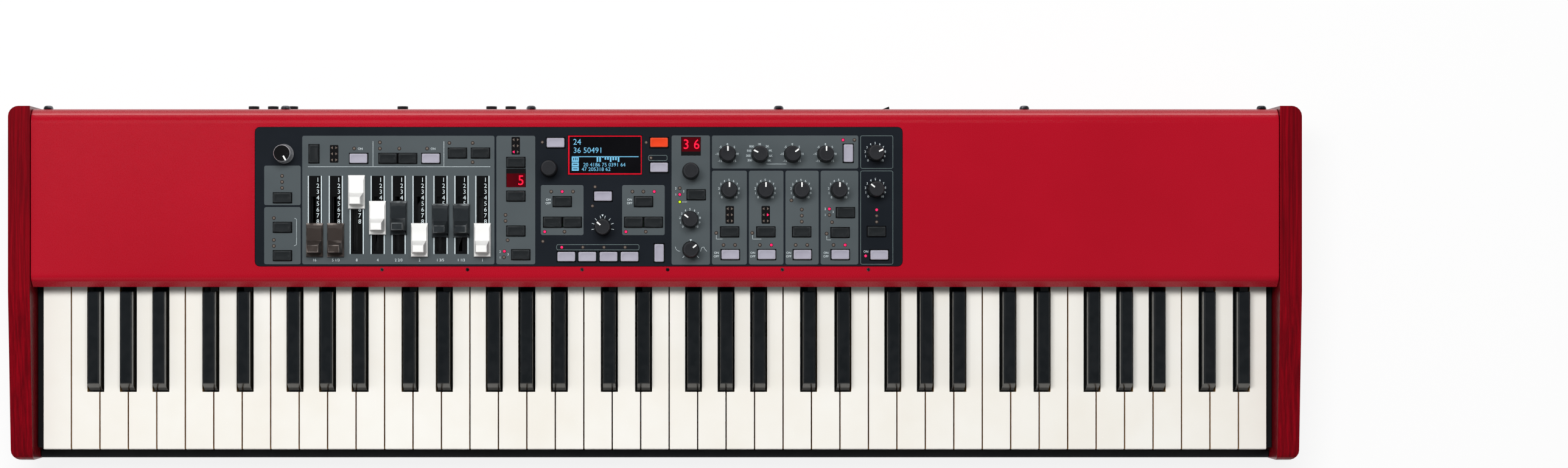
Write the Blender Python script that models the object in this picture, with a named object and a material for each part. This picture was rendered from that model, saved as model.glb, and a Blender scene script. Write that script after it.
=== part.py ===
# A 73-key stage keyboard: wooden end cheeks, a painted steel cover with a flush control fascia,
# nine drawbars, sixteen knobs, forty-two buttons and a waterfall keybed on a steel chassis.
# Sizes are in millimetres and MM turns them into metres when a mesh is made.
# X runs to the player's right, Y to the rear and Z up, from the table under the middle of the case.

import math

import bmesh
import bpy

MM = 0.001
GAP = 0.3
CUT = 2.0

# Case
DEPTH = 294.0
FOOT_HEIGHT = 7.0
PANEL_TOP = 80.0
CHEEK_PROUD = 2.0
CHEEK_TOP = PANEL_TOP + CHEEK_PROUD
CHEEK_FRONT_TOP = 71.5
CHEEK_SLOPE_START = -7.0
CHEEK_THICKNESS = 18.0
CHEEK_FRONT_RADIUS = 7.0
CHEEK_CORNER_RADIUS = 8.5
CHEEK_PAST_WALL = 2.0
SHEET = 1.5
BASE_SHEET = 2.0
BASE_UPTURN = 15.0
REAR_BEND_RADIUS = 12.0
STUB_PROUD = 4.8
FRONT = -DEPTH / 2
REAR_WALL = DEPTH / 2 - STUB_PROUD
BASE_BOTTOM = FOOT_HEIGHT
BASE_TOP = BASE_BOTTOM + BASE_SHEET
PANEL_UNDERSIDE = PANEL_TOP - SHEET

# Front lip of the cover, bent down over the keys
LIP_FRONT = -4.2
LIP_RADIUS = 8.0
LIP_ANGLE = math.radians(50)
LIP_OVER_KEYS = 1.5
LIP_FLAT_END = 6.0

# Keys
WHITE_PITCH = 23.57
WHITE_COUNT = 43
KEY_GAP = 1.0
WHITE_TOP = 56.0
WHITE_FRONT = FRONT + 8.1
KEY_BOTTOM = 36.0
KEY_WALL = 1.8
KEY_SKIN = 2.5
FRONT_EDGE_RADIUS = 1.5
CUTOUT_FRONT = -91.2
BLACK_WIDTH = 11.5
BLACK_SIDE_GAP = 1.2
CUTOUT_WIDTH = BLACK_WIDTH + 2 * BLACK_SIDE_GAP
BLACK_DRAFT = 0.8
BLACK_TOP_WIDTH = BLACK_WIDTH - 2 * BLACK_DRAFT
BLACK_HEIGHT = 12.0
LIP_BOTTOM = WHITE_TOP + BLACK_HEIGHT + LIP_OVER_KEYS
BLACK_TOP_FRONT = -83.5
BLACK_TOP_REAR = LIP_FRONT - 3.8
BLACK_FRONT_GAP = 1.0
BLACK_SHOULDER = 0.2
BLACK_EDGE = 1.0
SIDE_RAIL = 5.75
KEYS_LEFT = -WHITE_PITCH * WHITE_COUNT / 2
CASE_INSIDE = WHITE_PITCH * WHITE_COUNT / 2 - KEY_GAP / 2 + SIDE_RAIL
CASE_OUTSIDE = CASE_INSIDE + CHEEK_THICKNESS

# Pivot of the keys and the chassis that carries it
PIVOT_Y = 59.0
PIVOT_Z = 45.0
PIVOT_RADIUS = 2.0
WEB_FRONT = PIVOT_Y - PIVOT_RADIUS
WEB_BITE = 0.4
HOOK_CLEARANCE = 0.3
HOOK_FLARE = 0.5
ARM_WIDTH = 8.0
ARM_BOTTOM = 41.0
ARM_TOP = 54.0
KEY_BODY_REAR = 50.0
KEY_ARM_REAR = 64.0
CHASSIS_FRONT = -133.0
CHASSIS_FRONT_TOP = 24.0
SHELF_FRONT = -60.0
SHELF_REAR = -20.0
SHELF_TOP = 20.0
CONTACT_STRIP_WIDTH = 12.0
CONTACT_STRIP_TOP = 27.0
RAIL_WIDTH = 4.6
RAIL_TOP = 52.0

# The scale, from the lowest note, and how far each black key sits off its white boundary
WHITE_NOTES = ("c", "d", "e", "f", "g", "a", "b")
FIRST_NOTE = 2
FIRST_OCTAVE = 1
BLACK_OFFSETS = {"c": -2.4, "d": 2.4, "f": -3.4, "g": 0.0, "a": 3.4}
JOINTED_OCTAVE = 4

# Front slip
SLIP_FRONT = FRONT + 0.4
SLIP_REAR = FRONT + 7.0
SLIP_TOP = 40.0
BASE_FRONT = SLIP_REAR + 0.4
SLIP_RADIUS = 3.0

# Control fascia, whose controls are placed from its middle
FASCIA_WIDTH = 531.2
FASCIA_DEPTH = 114.5
FASCIA_X = -62.5
FASCIA_Y = REAR_WALL - 15.2 - FASCIA_DEPTH / 2
FASCIA_RADIUS = 4.0
FLANGE = 6.0
FLANGE_REAR = 2.5
FLANGE_THICKNESS = 1.5
FLANGE_TOP = PANEL_UNDERSIDE - GAP
FASCIA_BOTTOM = FLANGE_TOP - FLANGE_THICKNESS

# Board under the fascia
BOARD_TOP = PANEL_TOP - 12.4
BOARD_THICKNESS = 1.6
BOARD_BOTTOM = BOARD_TOP - BOARD_THICKNESS
BOARD_MARGIN = 2.5
BOARD_BITE = 0.4

# Knobs: name, place from the fascia's middle, pointer angle clockwise from the rear or None
KNOB_BASE_RADIUS = 7.0
KNOB_TOP_RADIUS = 6.0
KNOB_HEIGHT = 15.7
KNOB_LIFT = 0.8
KNOB_EDGE = 0.6
KNOB_SEGMENTS = 12
SHAFT_RADIUS = 3.0
SHAFT_BOTTOM = BOARD_TOP + 1.8
POT_RADIUS = 6.0
POT_SEGMENTS = 6
SHAFT_HOLE_RADIUS = (SHAFT_RADIUS + GAP) / math.cos(math.pi / POT_SEGMENTS)
POINTER_WIDTH = 0.9
POINTER_DEPTH = 0.3
MASTER_SCALE = 8.0 / 7.0
KNOBS = (
    ("master_volume_knob", -241.4, 35.05, 151),
    ("program_encoder_knob", -24.2, 23.05, None),
    ("part_mix_knob", 19.7, -24.85, -50),
    ("sample_encoder_knob", 91.8, 20.95, None),
    ("attack_knob", 91.2, -18.65, -52),
    ("release_knob", 91.8, -43.35, 50),
    ("eq_bass_knob", 121.9, 34.85, 0),
    ("eq_frequency_knob", 148.4, 34.85, -63),
    ("eq_mid_gain_knob", 175.1, 34.85, 52),
    ("eq_treble_knob", 202.2, 34.85, 0),
    ("gain_level_knob", 243.0, 35.65, 65),
    ("effect_1_knob", 123.2, 5.45, 0),
    ("effect_2_knob", 152.9, 5.45, 0),
    ("drive_knob", 182.2, 5.45, 0),
    ("delay_knob", 213.1, 5.45, 0),
    ("reverb_knob", 243.2, 6.05, -51),
)

# Buttons: name and place from the fascia's middle
BUTTON_LENGTH = 15.4
BUTTON_BREADTH = 8.6
BUTTON_TOP = PANEL_TOP + 3.5
BUTTON_SHOULDER = BUTTON_TOP - 1.2
BUTTON_EDGE = 1.4
STEM_SIZE = 6.0
BUTTON_TRAVEL = 0.8
BUTTON_FLANGE = 1.7
SWITCH_TOP = BOARD_TOP + 1.6
LYING_BUTTONS = (
    ("organ_model", -242.8, -0.95),
    ("rotary_stop", -242.8, -25.15),
    ("rotary_speed", -242.8, -48.35),
    ("percussion_soft", -156.3, 31.35),
    ("percussion_third", -140.2, 31.35),
    ("vibrato_on", -180.3, 31.35),
    ("percussion_on", -121.1, 31.35),
    ("preset_1", -99.4, 35.75),
    ("preset_2", -80.5, 35.75),
    ("piano_next", -51.5, 28.15),
    ("piano_list", -51.5, 0.45),
    ("piano_acoustics", -51.5, -28.15),
    ("key_touch", -47.5, -47.55),
    ("lower_select", -13.5, -4.05),
    ("lower_octave_down", -21.4, -20.95),
    ("lower_octave_up", -5.3, -20.95),
    ("upper_select", 53.1, -4.05),
    ("upper_octave_down", 45.1, -20.95),
    ("upper_octave_up", 61.2, -20.95),
    ("list_exit", -18.9, 44.15),
    ("set_list", 65.9, 23.95),
    ("store", 65.9, 44.35),
    ("split", 20.0, 0.35),
    ("program_a", -10.1, -49.15),
    ("program_b", 7.1, -49.15),
    ("program_c", 24.5, -49.15),
    ("program_d", 41.7, -49.15),
    ("sample_dynamics", 96.3, 1.55),
    ("effect_1_select", 123.7, -28.85),
    ("effect_2_select", 153.4, -28.85),
    ("speaker_select", 182.7, -28.85),
    ("delay_feedback", 218.6, -13.05),
    ("delay_tap", 214.2, -29.35),
    ("reverb_type", 244.0, -28.55),
    ("effect_1_on", 124.2, -47.45),
    ("effect_2_on", 154.0, -47.45),
    ("speaker_on", 183.3, -47.45),
    ("delay_on", 214.3, -47.45),
    ("reverb_on", 246.2, -47.75),
)
STANDING_BUTTONS = (
    ("vibrato_mode", -217.0, 35.15),
    ("shift", 65.9, -46.15),
    ("eq_part", 220.9, 35.55),
)
JOINTED_BUTTONS = ("program_a", "program_b", "program_c", "program_d", "shift")

# Displays: place from the fascia's middle and size
WINDOW = (21.45, 34.1, 61.1, 32.7)
SMALL_DISPLAYS = ((-51.4, 15.45, 16.2, 15.4), (92.0, 41.35, 16.2, 15.4))
WINDOW_BOTTOM = PANEL_TOP - 10.0

# Drawbars, whose positions are how far each stands behind its front stop
DRAWBAR_FIRST_X = -216.3
DRAWBAR_PITCH = 17.17
DRAWBAR_POSITIONS = (0.0, 0.0, 39.3, 18.2, 18.2, 0.0, 16.0, 16.0, 0.0)
DRAWBAR_TRAVEL = 39.3
SLOT_OFFSET = -1.1
SLOT_WIDTH = 3.6
SLOT_FRONT = -44.75
STEM_LENGTH = 5.0
STEM_WIDTH = SLOT_WIDTH - 2 * GAP
CAP_HALF_WIDTH = 6.9
CAP_PLATFORM_HALF = 5.85
CAP_RIDGE_HALF = 4.5
CAP_LENGTH = 27.6
CAP_BEFORE_STEM = 7.4
CAP_LIFT = 0.8
CAP_RIM = 2.0
CAP_STEP = 3.0
CAP_PLATFORM = 4.2
CAP_RIDGE = 17.2
CAP_CHAMFER_LENGTH = 3.9
CAP_STEP_LENGTH = 3.1
CAP_RIDGE_LENGTH = 5.8
CAP_RAMP_LENGTH = 4.0
CAP_EDGE = 0.5
FOOT_HALF_WIDTH = 2.9
FOOT_LENGTH = 6.0
CARRIER_TOP = PANEL_TOP - 18.4
CARRIER_THICKNESS = 1.6
CHANNEL_HEIGHT = 5.4
CHANNEL_WALL = 1.4
POST = 4.0
NOTCH_LEFT = DRAWBAR_FIRST_X - 11.7
NOTCH_RIGHT = DRAWBAR_FIRST_X + (len(DRAWBAR_POSITIONS) - 1) * DRAWBAR_PITCH + 10.44
NOTCH_REAR = 22.0

# Sockets on the rear wall
SOCKET_Z = 25.0
JACKS_X = (-336.3, -320.1, -303.7, -211.5, -137.0, -120.9)
JACK_BORE_RADIUS = 3.3
JACK_FERRULE_RADIUS = 4.5
JACK_BODY_WIDTH = 14.0
MINI_JACK_X = -289.0
MINI_JACK_RADIUS = 2.6
MIDI_X = (-194.0, -174.0)
MIDI_RADIUS = 7.5
MIDI_BORE_RADIUS = 6.7
USB_X = -154.0
USB_WIDTH = 12.0
USB_HEIGHT = 11.0
USB_WALL = 1.5
SOCKET_DEPTH = 12.0
IO_BOARD_TOP = 16.0
IO_BOARD_DEPTH = 34.0
WALL_INSIDE = REAR_WALL - SHEET

# Mains inlet with its rocker switch
INLET_LEFT = 167.0
INLET_RIGHT = 240.0
INLET_BOTTOM = 13.0
INLET_TOP = 39.0
INLET_DEPTH = 24.0
BEZEL = 2.0
BEZEL_PROUD = 1.2
ROCKER_X = 185.2
ROCKER_Z = 26.0
ROCKER_PIVOT_Y = REAR_WALL - 2.0
ROCKER_HALF_LENGTH = 11.6
ROCKER_HEIGHT = 10.6
ROCKER_END = 4.3
ROCKER_MIDDLE = 2.0
ROCKER_KEEL = 6.0
ROCKER_TILT = math.radians(11)
TRUNNION_RADIUS = 1.3
WELL_HALF_LENGTH = 12.7
MAINS_X = 221.0
MAINS_WIDTH = 24.4
MAINS_HEIGHT = 17.2
MAINS_DEPTH = 16.0
PIN_LENGTH = 9.5

# Power supply
SUPPLY_X = 110.0
SUPPLY_Y = 104.0
SUPPLY_WIDTH = 84.0
SUPPLY_DEPTH = 52.0
SUPPLY_BOARD_TOP = 15.0
SUPPLY_CANS = ((-28.0, 10.0, 9.0, 26.0), (30.0, -14.0, 6.5, 20.0), (30.0, 10.0, 6.5, 20.0))

# Feet
FOOT_RADIUS = 16.0
FOOT_TOP_RADIUS = 14.0
FOOT_INSET_X = 60.0
FOOT_INSET_Y = 34.0


def material(name, colour, roughness, metallic=0.0):
    made = bpy.data.materials.new(name)
    made.use_nodes = True
    shader = made.node_tree.nodes["Principled BSDF"]
    shader.inputs["Base Color"].default_value = (*colour, 1.0)
    shader.inputs["Roughness"].default_value = roughness
    shader.inputs["Metallic"].default_value = metallic
    made.diffuse_color = (*colour, 1.0)
    return made


def finish(name, bm, look, origin=(0.0, 0.0, 0.0)):
    """Make an object of a mesh drawn in place, with its origin on the given point."""
    bmesh.ops.remove_doubles(bm, verts=bm.verts, dist=0.0005)
    bmesh.ops.recalc_face_normals(bm, faces=bm.faces)
    bmesh.ops.translate(bm, verts=bm.verts, vec=[-value for value in origin])
    bmesh.ops.scale(bm, verts=bm.verts, vec=(MM, MM, MM))
    mesh = bpy.data.meshes.new(name)
    bm.to_mesh(mesh)
    bm.free()
    mesh.shade_smooth()
    mesh.set_sharp_from_angle(angle=math.radians(35))
    mesh.materials.append(look)
    thing = bpy.data.objects.new(name, mesh)
    thing.location = [value * MM for value in origin]
    bpy.context.scene.collection.objects.link(thing)
    return thing


def tool(name, bm, look):
    """Make an object that only cuts or joins another one."""
    thing = finish(name, bm, look)
    thing.hide_render = True
    thing.display_type = "WIRE"
    return thing


def combine(target, other, operation):
    change = target.modifiers.new(other.name, "BOOLEAN")
    change.object = other
    change.operation = operation
    change.solver = "EXACT"


def faces_between(bm, first, second):
    count = len(first)
    for index in range(count):
        after = (index + 1) % count
        bm.faces.new((first[index], first[after], second[after], second[index]))


def loft(bm, sections):
    """Join closed loops of points, each with as many points, and cap both ends."""
    loops = [[bm.verts.new(point) for point in section] for section in sections]
    for first, second in zip(loops, loops[1:]):
        faces_between(bm, first, second)
    bm.faces.new(reversed(loops[0]))
    bm.faces.new(loops[-1])


def prism(bm, outline, low, high, axis="Z"):
    """Extrude an outline along an axis: XY along Z, YZ along X, or XZ along Y."""
    places = {
        "Z": lambda a, b, c: (a, b, c),
        "X": lambda a, b, c: (c, a, b),
        "Y": lambda a, b, c: (a, c, b),
    }
    place = places[axis]
    loft(bm, [[place(a, b, level) for a, b in outline] for level in (low, high)])


def box(bm, x, y, z):
    prism(bm, ((x[0], y[0]), (x[1], y[0]), (x[1], y[1]), (x[0], y[1])), z[0], z[1])


def rectangle(x, y, half_x, half_y, z):
    left, right = x - half_x, x + half_x
    front, rear = y - half_y, y + half_y
    return [(left, front, z), (right, front, z), (right, rear, z), (left, rear, z)]


def circle(x, y, radius, segments, start=0.0):
    turns = [start + 2 * math.pi * step / segments for step in range(segments)]
    return [(x + radius * math.cos(turn), y + radius * math.sin(turn)) for turn in turns]


def arc(centre, radius, start, end, steps):
    """Points on an arc, in degrees, both ends included."""
    points = []
    for step in range(steps + 1):
        turn = math.radians(start + (end - start) * step / steps)
        points.append((centre[0] + radius * math.cos(turn), centre[1] + radius * math.sin(turn)))
    return points


def rounded_rectangle(x, y, half_x, half_y, radius, steps=3):
    corners = ((1, 1, 0), (-1, 1, 90), (-1, -1, 180), (1, -1, 270))
    points = []
    for side_x, side_y, start in corners:
        centre = (x + side_x * (half_x - radius), y + side_y * (half_y - radius))
        points += arc(centre, radius, start, start + 90, steps)
    return points


def turned(bm, profile, centre, segments, axis=(0.0, 0.0, 1.0)):
    """Spin a profile of (radius, height) pairs about a line through the centre."""
    x, y, z = centre
    if axis[2]:
        points = [(x + radius, y, z + height) for radius, height in profile]
    else:
        points = [(x + radius, y + height, z) for radius, height in profile]
    verts = [bm.verts.new(point) for point in points]
    edges = [bm.edges.new(pair) for pair in zip(verts, verts[1:])]
    bmesh.ops.spin(
        bm,
        geom=verts + edges,
        cent=centre,
        axis=axis,
        angle=2 * math.pi,
        steps=segments,
        use_merge=True,
    )


def sheet_outline(path, thickness):
    """Thicken an open path to its left by a sheet's thickness, with mitred bends."""
    inner = []
    for index, (a, b) in enumerate(path):
        before = path[max(index - 1, 0)]
        after = path[min(index + 1, len(path) - 1)]
        normals = []
        for start, end in ((before, (a, b)), ((a, b), after)):
            run = (end[0] - start[0], end[1] - start[1])
            length = math.hypot(*run)
            if length > 0:
                normals.append((-run[1] / length, run[0] / length))
        mean = [sum(values) / len(normals) for values in zip(*normals)]
        stretch = thickness / (mean[0] ** 2 + mean[1] ** 2)
        inner.append((a + mean[0] * stretch, b + mean[1] * stretch))
    return list(path) + inner[::-1]


def white_keys():
    """Each white key: its note, octave, sides and the sides of its narrow tail."""
    keys = []
    for index in range(WHITE_COUNT):
        place = FIRST_NOTE + index
        note = WHITE_NOTES[place % 7]
        before = WHITE_NOTES[(place - 1) % 7]
        left = KEYS_LEFT + index * WHITE_PITCH
        right = left + WHITE_PITCH
        tail_left = left + KEY_GAP / 2
        tail_right = right - KEY_GAP / 2
        if before in BLACK_OFFSETS and index > 0:
            tail_left = left + BLACK_OFFSETS[before] + CUTOUT_WIDTH / 2
        if note in BLACK_OFFSETS and index < WHITE_COUNT - 1:
            tail_right = right + BLACK_OFFSETS[note] - CUTOUT_WIDTH / 2
        sides = (left + KEY_GAP / 2, right - KEY_GAP / 2)
        keys.append((note, FIRST_OCTAVE + place // 7, sides, (tail_left, tail_right)))
    return keys


def black_keys():
    """Each black key: its note, octave and middle."""
    keys = []
    for note, octave, sides, tail in white_keys()[:-1]:
        if note in BLACK_OFFSETS:
            keys.append((note, octave, sides[1] + KEY_GAP / 2 + BLACK_OFFSETS[note]))
    return keys


def white_outline(sides, tail, rear):
    """The plan of a white key, counter-clockwise from its front left corner."""
    points = [(sides[0], WHITE_FRONT), (sides[1], WHITE_FRONT)]
    if tail[1] < sides[1]:
        points += [(sides[1], CUTOUT_FRONT), (tail[1], CUTOUT_FRONT)]
    points += [(tail[1], rear), (tail[0], rear)]
    if tail[0] > sides[0]:
        points += [(tail[0], CUTOUT_FRONT), (sides[0], CUTOUT_FRONT)]
    return points


def hollow_below(bm, top):
    """Turn a block into a shell: inset its lowest face and push that face up under the skin."""
    bm.normal_update()
    floor = min(bm.faces, key=lambda face: face.calc_center_median().z)
    bmesh.ops.inset_region(bm, faces=[floor], thickness=KEY_WALL, use_even_offset=True)
    bmesh.ops.translate(bm, verts=floor.verts, vec=(0.0, 0.0, top - KEY_SKIN - KEY_BOTTOM))


def white_body(bm, sides, tail, rear, hollow):
    prism(bm, white_outline(sides, tail, rear), KEY_BOTTOM, WHITE_TOP)
    bmesh.ops.recalc_face_normals(bm, faces=bm.faces)
    if hollow:
        hollow_below(bm, WHITE_TOP)
    front_edges = []
    for edge in bm.edges:
        ends = [vert.co for vert in edge.verts]
        if all(end.z == WHITE_TOP and abs(end.y - WHITE_FRONT) < 0.001 for end in ends):
            front_edges.append(edge)
    bmesh.ops.bevel(bm, geom=front_edges, offset=FRONT_EDGE_RADIUS, segments=2, affect="EDGES", profile=0.5)


def black_body(bm, middle, rear, hollow):
    """A black key: its body in the cut-out, and a cap with drafted sides and a sloping front."""
    front = CUTOUT_FRONT + BLACK_FRONT_GAP
    half = BLACK_WIDTH / 2
    top_half = BLACK_TOP_WIDTH / 2
    top = WHITE_TOP + BLACK_HEIGHT
    shoulder = WHITE_TOP - KEY_SKIN
    edge = BLACK_EDGE
    sections = []
    for z, side, nose, tail in (
        (KEY_BOTTOM, half, front, rear),
        (shoulder, half, front, rear),
        (shoulder, half - BLACK_SHOULDER, front + BLACK_SHOULDER, BLACK_TOP_REAR),
        (top - edge, top_half, BLACK_TOP_FRONT - edge / 2, BLACK_TOP_REAR - BLACK_SHOULDER),
        (top, top_half - edge, BLACK_TOP_FRONT + edge, BLACK_TOP_REAR - BLACK_SHOULDER - edge),
    ):
        sections.append(rectangle(middle, (nose + tail) / 2, side, (tail - nose) / 2, z))
    loft(bm, sections)
    if hollow:
        bmesh.ops.recalc_face_normals(bm, faces=bm.faces)
        hollow_below(bm, shoulder)


def hook_arm(bm, middle):
    """The arm behind a jointed key, with an open half-round hook over the pivot rail."""
    radius = PIVOT_RADIUS + HOOK_CLEARANCE
    outline = [(KEY_BODY_REAR - KEY_WALL - 4.0, ARM_BOTTOM), (PIVOT_Y - radius - HOOK_FLARE, ARM_BOTTOM)]
    outline += arc((PIVOT_Y, PIVOT_Z), radius / math.cos(math.pi / 12), 180, 0, 6)
    outline += [(PIVOT_Y + radius + HOOK_FLARE, ARM_BOTTOM), (KEY_ARM_REAR, ARM_BOTTOM)]
    outline += [(KEY_ARM_REAR, ARM_TOP - 3.0), (KEY_ARM_REAR - 3.0, ARM_TOP)]
    outline += [(KEY_BODY_REAR - KEY_WALL - 4.0, ARM_TOP)]
    prism(bm, outline, middle - ARM_WIDTH / 2, middle + ARM_WIDTH / 2, "X")


def build_keys(ivory, ebony, steel):
    """The jointed octave as single keys, and every other key on the chassis that carries it."""
    bank = bmesh.new()
    pivot_line = (PIVOT_Y, PIVOT_Z)
    for note, octave, sides, tail in white_keys():
        if octave != JOINTED_OCTAVE:
            key = bmesh.new()
            white_body(key, sides, tail, WEB_FRONT + WEB_BITE, False)
            spare = bpy.data.meshes.new("white key")
            key.to_mesh(spare)
            key.free()
            bank.from_mesh(spare)
            continue
        name = f"key_{note}{octave}"
        key = bmesh.new()
        white_body(key, sides, tail, KEY_BODY_REAR, True)
        middle = (tail[0] + tail[1]) / 2
        arm = bmesh.new()
        hook_arm(arm, middle)
        body = finish(name, key, ivory, (middle, *pivot_line))
        combine(body, tool(f"{name} arm", arm, ivory), "UNION")
    for note, octave, middle in black_keys():
        if octave != JOINTED_OCTAVE:
            black_body(bank, middle, WEB_FRONT + WEB_BITE, False)
            continue
        name = f"key_{note}_sharp_{octave}"
        key = bmesh.new()
        black_body(key, middle, KEY_BODY_REAR, True)
        arm = bmesh.new()
        hook_arm(arm, middle)
        body = finish(name, key, ebony, (middle, *pivot_line))
        combine(body, tool(f"{name} arm", arm, ebony), "UNION")
    build_chassis(bank, ivory, steel)


def build_chassis(bank, ivory, steel):
    """A bent steel chassis with a pivot rail, end rails and the contact strip, under every key."""
    floor = BASE_TOP + GAP
    half = CASE_INSIDE - GAP - 0.2
    path = [
        (CHASSIS_FRONT, CHASSIS_FRONT_TOP),
        (CHASSIS_FRONT, floor),
        (SHELF_FRONT, floor),
        (SHELF_FRONT, SHELF_TOP - SHEET),
        (SHELF_REAR, SHELF_TOP - SHEET),
        (SHELF_REAR, floor),
        (WEB_FRONT + SHEET, floor),
        (WEB_FRONT + SHEET, PIVOT_Z),
    ]
    frame = bmesh.new()
    prism(frame, sheet_outline(path, SHEET), -half, half, "X")
    chassis = finish("key_frame", frame, steel)
    rail = bmesh.new()
    prism(rail, circle(PIVOT_Y, PIVOT_Z, PIVOT_RADIUS, 8, math.pi / 8), -half + 1.0, half - 1.0, "X")
    combine(chassis, tool("pivot rail", rail, steel), "UNION")
    strip = bmesh.new()
    middle = (SHELF_FRONT + SHELF_REAR) / 2
    sides = (middle - CONTACT_STRIP_WIDTH / 2, middle + CONTACT_STRIP_WIDTH / 2)
    box(strip, (-half + 8.0, half - 8.0), sides, (SHELF_TOP - SHEET / 2, CONTACT_STRIP_TOP))
    combine(chassis, tool("contact strip", strip, steel), "UNION")
    ends = bmesh.new()
    for side in (-1, 1):
        edges = sorted((side * (half + 0.1), side * (half + 0.1 - RAIL_WIDTH)))
        box(ends, edges, (BASE_FRONT + BASE_SHEET + GAP, PIVOT_Y + 5.0), (floor, RAIL_TOP))
    combine(chassis, tool("end rails", ends, steel), "UNION")
    combine(chassis, tool("key bank", bank, ivory), "UNION")


def build_cheeks(lacquer):
    """Wooden end cheeks: the side view and the rounded plan, met in one block."""
    rear = REAR_WALL + CHEEK_PAST_WALL
    radius = CHEEK_FRONT_RADIUS
    side_view = [(rear, BASE_BOTTOM), (rear, CHEEK_TOP), (CHEEK_SLOPE_START, CHEEK_TOP)]
    side_view += arc((FRONT + radius, CHEEK_FRONT_TOP - radius), radius, 95, 180, 5)
    side_view += arc((FRONT + 2.5, BASE_BOTTOM + 2.5), 2.5, 180, 270, 2)
    corner = CHEEK_CORNER_RADIUS
    for name, side in (("left_cheek", -1), ("right_cheek", 1)):
        inside = side * CASE_INSIDE
        outside = side * CASE_OUTSIDE
        cheek = bmesh.new()
        prism(cheek, side_view, min(inside, outside), max(inside, outside), "X")
        turned_in = side * (CASE_OUTSIDE - corner)
        plan = [(inside, FRONT - CUT), (inside, rear + CUT), (turned_in, rear + CUT), (turned_in, rear)]
        plan += [(side * x, y) for x, y in arc((CASE_OUTSIDE - corner, rear - corner), corner, 75, 0, 4)]
        plan += [(side * x, y) for x, y in arc((CASE_OUTSIDE - corner, FRONT + corner), corner, 0, -75, 4)]
        plan += [(turned_in, FRONT), (turned_in, FRONT - CUT)]
        plan[0] = (inside - side * CUT, plan[0][1])
        plan[1] = (inside - side * CUT, plan[1][1])
        rounding = bmesh.new()
        prism(rounding, plan, BASE_BOTTOM - CUT, CHEEK_TOP + CUT)
        body = finish(name, cheek, lacquer)
        combine(body, tool(f"{name} plan", rounding, lacquer), "INTERSECT")


def build_cover(red):
    """One bent sheet: rear wall, rounded rear edge, panel and the lip over the keys."""
    bend = (REAR_WALL - REAR_BEND_RADIUS, PANEL_TOP - REAR_BEND_RADIUS)
    path = [(REAR_WALL, BASE_TOP + GAP)]
    path += arc(bend, REAR_BEND_RADIUS, 0, 90, 8)
    lip_bend = (LIP_FLAT_END, PANEL_TOP - LIP_RADIUS)
    path += arc(lip_bend, LIP_RADIUS, 90, 90 + math.degrees(LIP_ANGLE), 5)
    last = path[-1]
    run = last[0] - LIP_FRONT
    path += [(LIP_FRONT, last[1] - run * math.tan(LIP_ANGLE)), (LIP_FRONT, LIP_BOTTOM)]
    sheet = bmesh.new()
    prism(sheet, sheet_outline(path, SHEET), -CASE_INSIDE + 0.5, CASE_INSIDE - 0.5, "X")
    cover = finish("top_cover", sheet, red)
    opening = bmesh.new()
    outline = rounded_rectangle(FASCIA_X, FASCIA_Y, FASCIA_WIDTH / 2, FASCIA_DEPTH / 2, FASCIA_RADIUS)
    prism(opening, outline, PANEL_UNDERSIDE - CUT, PANEL_TOP + CUT)
    combine(cover, tool("fascia opening", opening, red), "DIFFERENCE")
    holes = bmesh.new()
    wall = (WALL_INSIDE - CUT, REAR_WALL + CUT)
    for x in JACKS_X:
        prism(holes, circle(x, SOCKET_Z, JACK_FERRULE_RADIUS + GAP, 12), *wall, "Y")
    prism(holes, circle(MINI_JACK_X, SOCKET_Z, MINI_JACK_RADIUS + 1.5, 10), *wall, "Y")
    for x in MIDI_X:
        prism(holes, circle(x, SOCKET_Z, MIDI_RADIUS + GAP, 12), *wall, "Y")
    usb = (USB_X - USB_WIDTH / 2 - GAP, USB_X + USB_WIDTH / 2 + GAP)
    box(holes, usb, wall, (SOCKET_Z - USB_HEIGHT / 2 - GAP, SOCKET_Z + USB_HEIGHT / 2 + GAP))
    box(holes, (INLET_LEFT - GAP, INLET_RIGHT + GAP), wall, (INLET_BOTTOM - GAP, INLET_TOP + GAP))
    combine(cover, tool("socket holes", holes, red), "DIFFERENCE")


def build_base(steel):
    path = [(BASE_FRONT, BASE_BOTTOM + BASE_UPTURN), (BASE_FRONT, BASE_BOTTOM), (REAR_WALL, BASE_BOTTOM)]
    pan = bmesh.new()
    prism(pan, sheet_outline(path, BASE_SHEET), -CASE_INSIDE + 0.5, CASE_INSIDE - 0.5, "X")
    finish("base_pan", pan, steel)


def build_slip(black):
    radius = SLIP_RADIUS
    outline = [(SLIP_REAR, BASE_BOTTOM), (SLIP_REAR, SLIP_TOP)]
    outline += arc((SLIP_FRONT + radius, SLIP_TOP - radius), radius, 90, 180, 4)
    outline += arc((SLIP_FRONT + radius, BASE_BOTTOM + radius), radius, 180, 270, 4)
    slip = bmesh.new()
    prism(slip, outline, -CASE_INSIDE + GAP, CASE_INSIDE - GAP, "X")
    finish("key_slip", slip, black)


def build_feet(rubber):
    places = [(side, end) for side in (-1, 1) for end in (-1, 1)]
    names = {(-1, -1): "front_left", (-1, 1): "rear_left", (1, -1): "front_right", (1, 1): "rear_right"}
    top = FOOT_HEIGHT - GAP
    profile = [(0, 1.5), (4.0, 1.5), (5.5, 0), (FOOT_TOP_RADIUS, 0), (FOOT_RADIUS, 1.5)]
    profile += [(FOOT_RADIUS, top), (0, top)]
    for side, end in places:
        foot = bmesh.new()
        x = side * (CASE_OUTSIDE - FOOT_INSET_X)
        y = (FRONT if end < 0 else REAR_WALL) - end * FOOT_INSET_Y
        turned(foot, profile, (x, y, 0.0), 20)
        finish(f"{names[(side, end)]}_foot", foot, rubber)


def on_fascia(dx, dy):
    return (FASCIA_X + dx, FASCIA_Y + dy)


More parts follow.
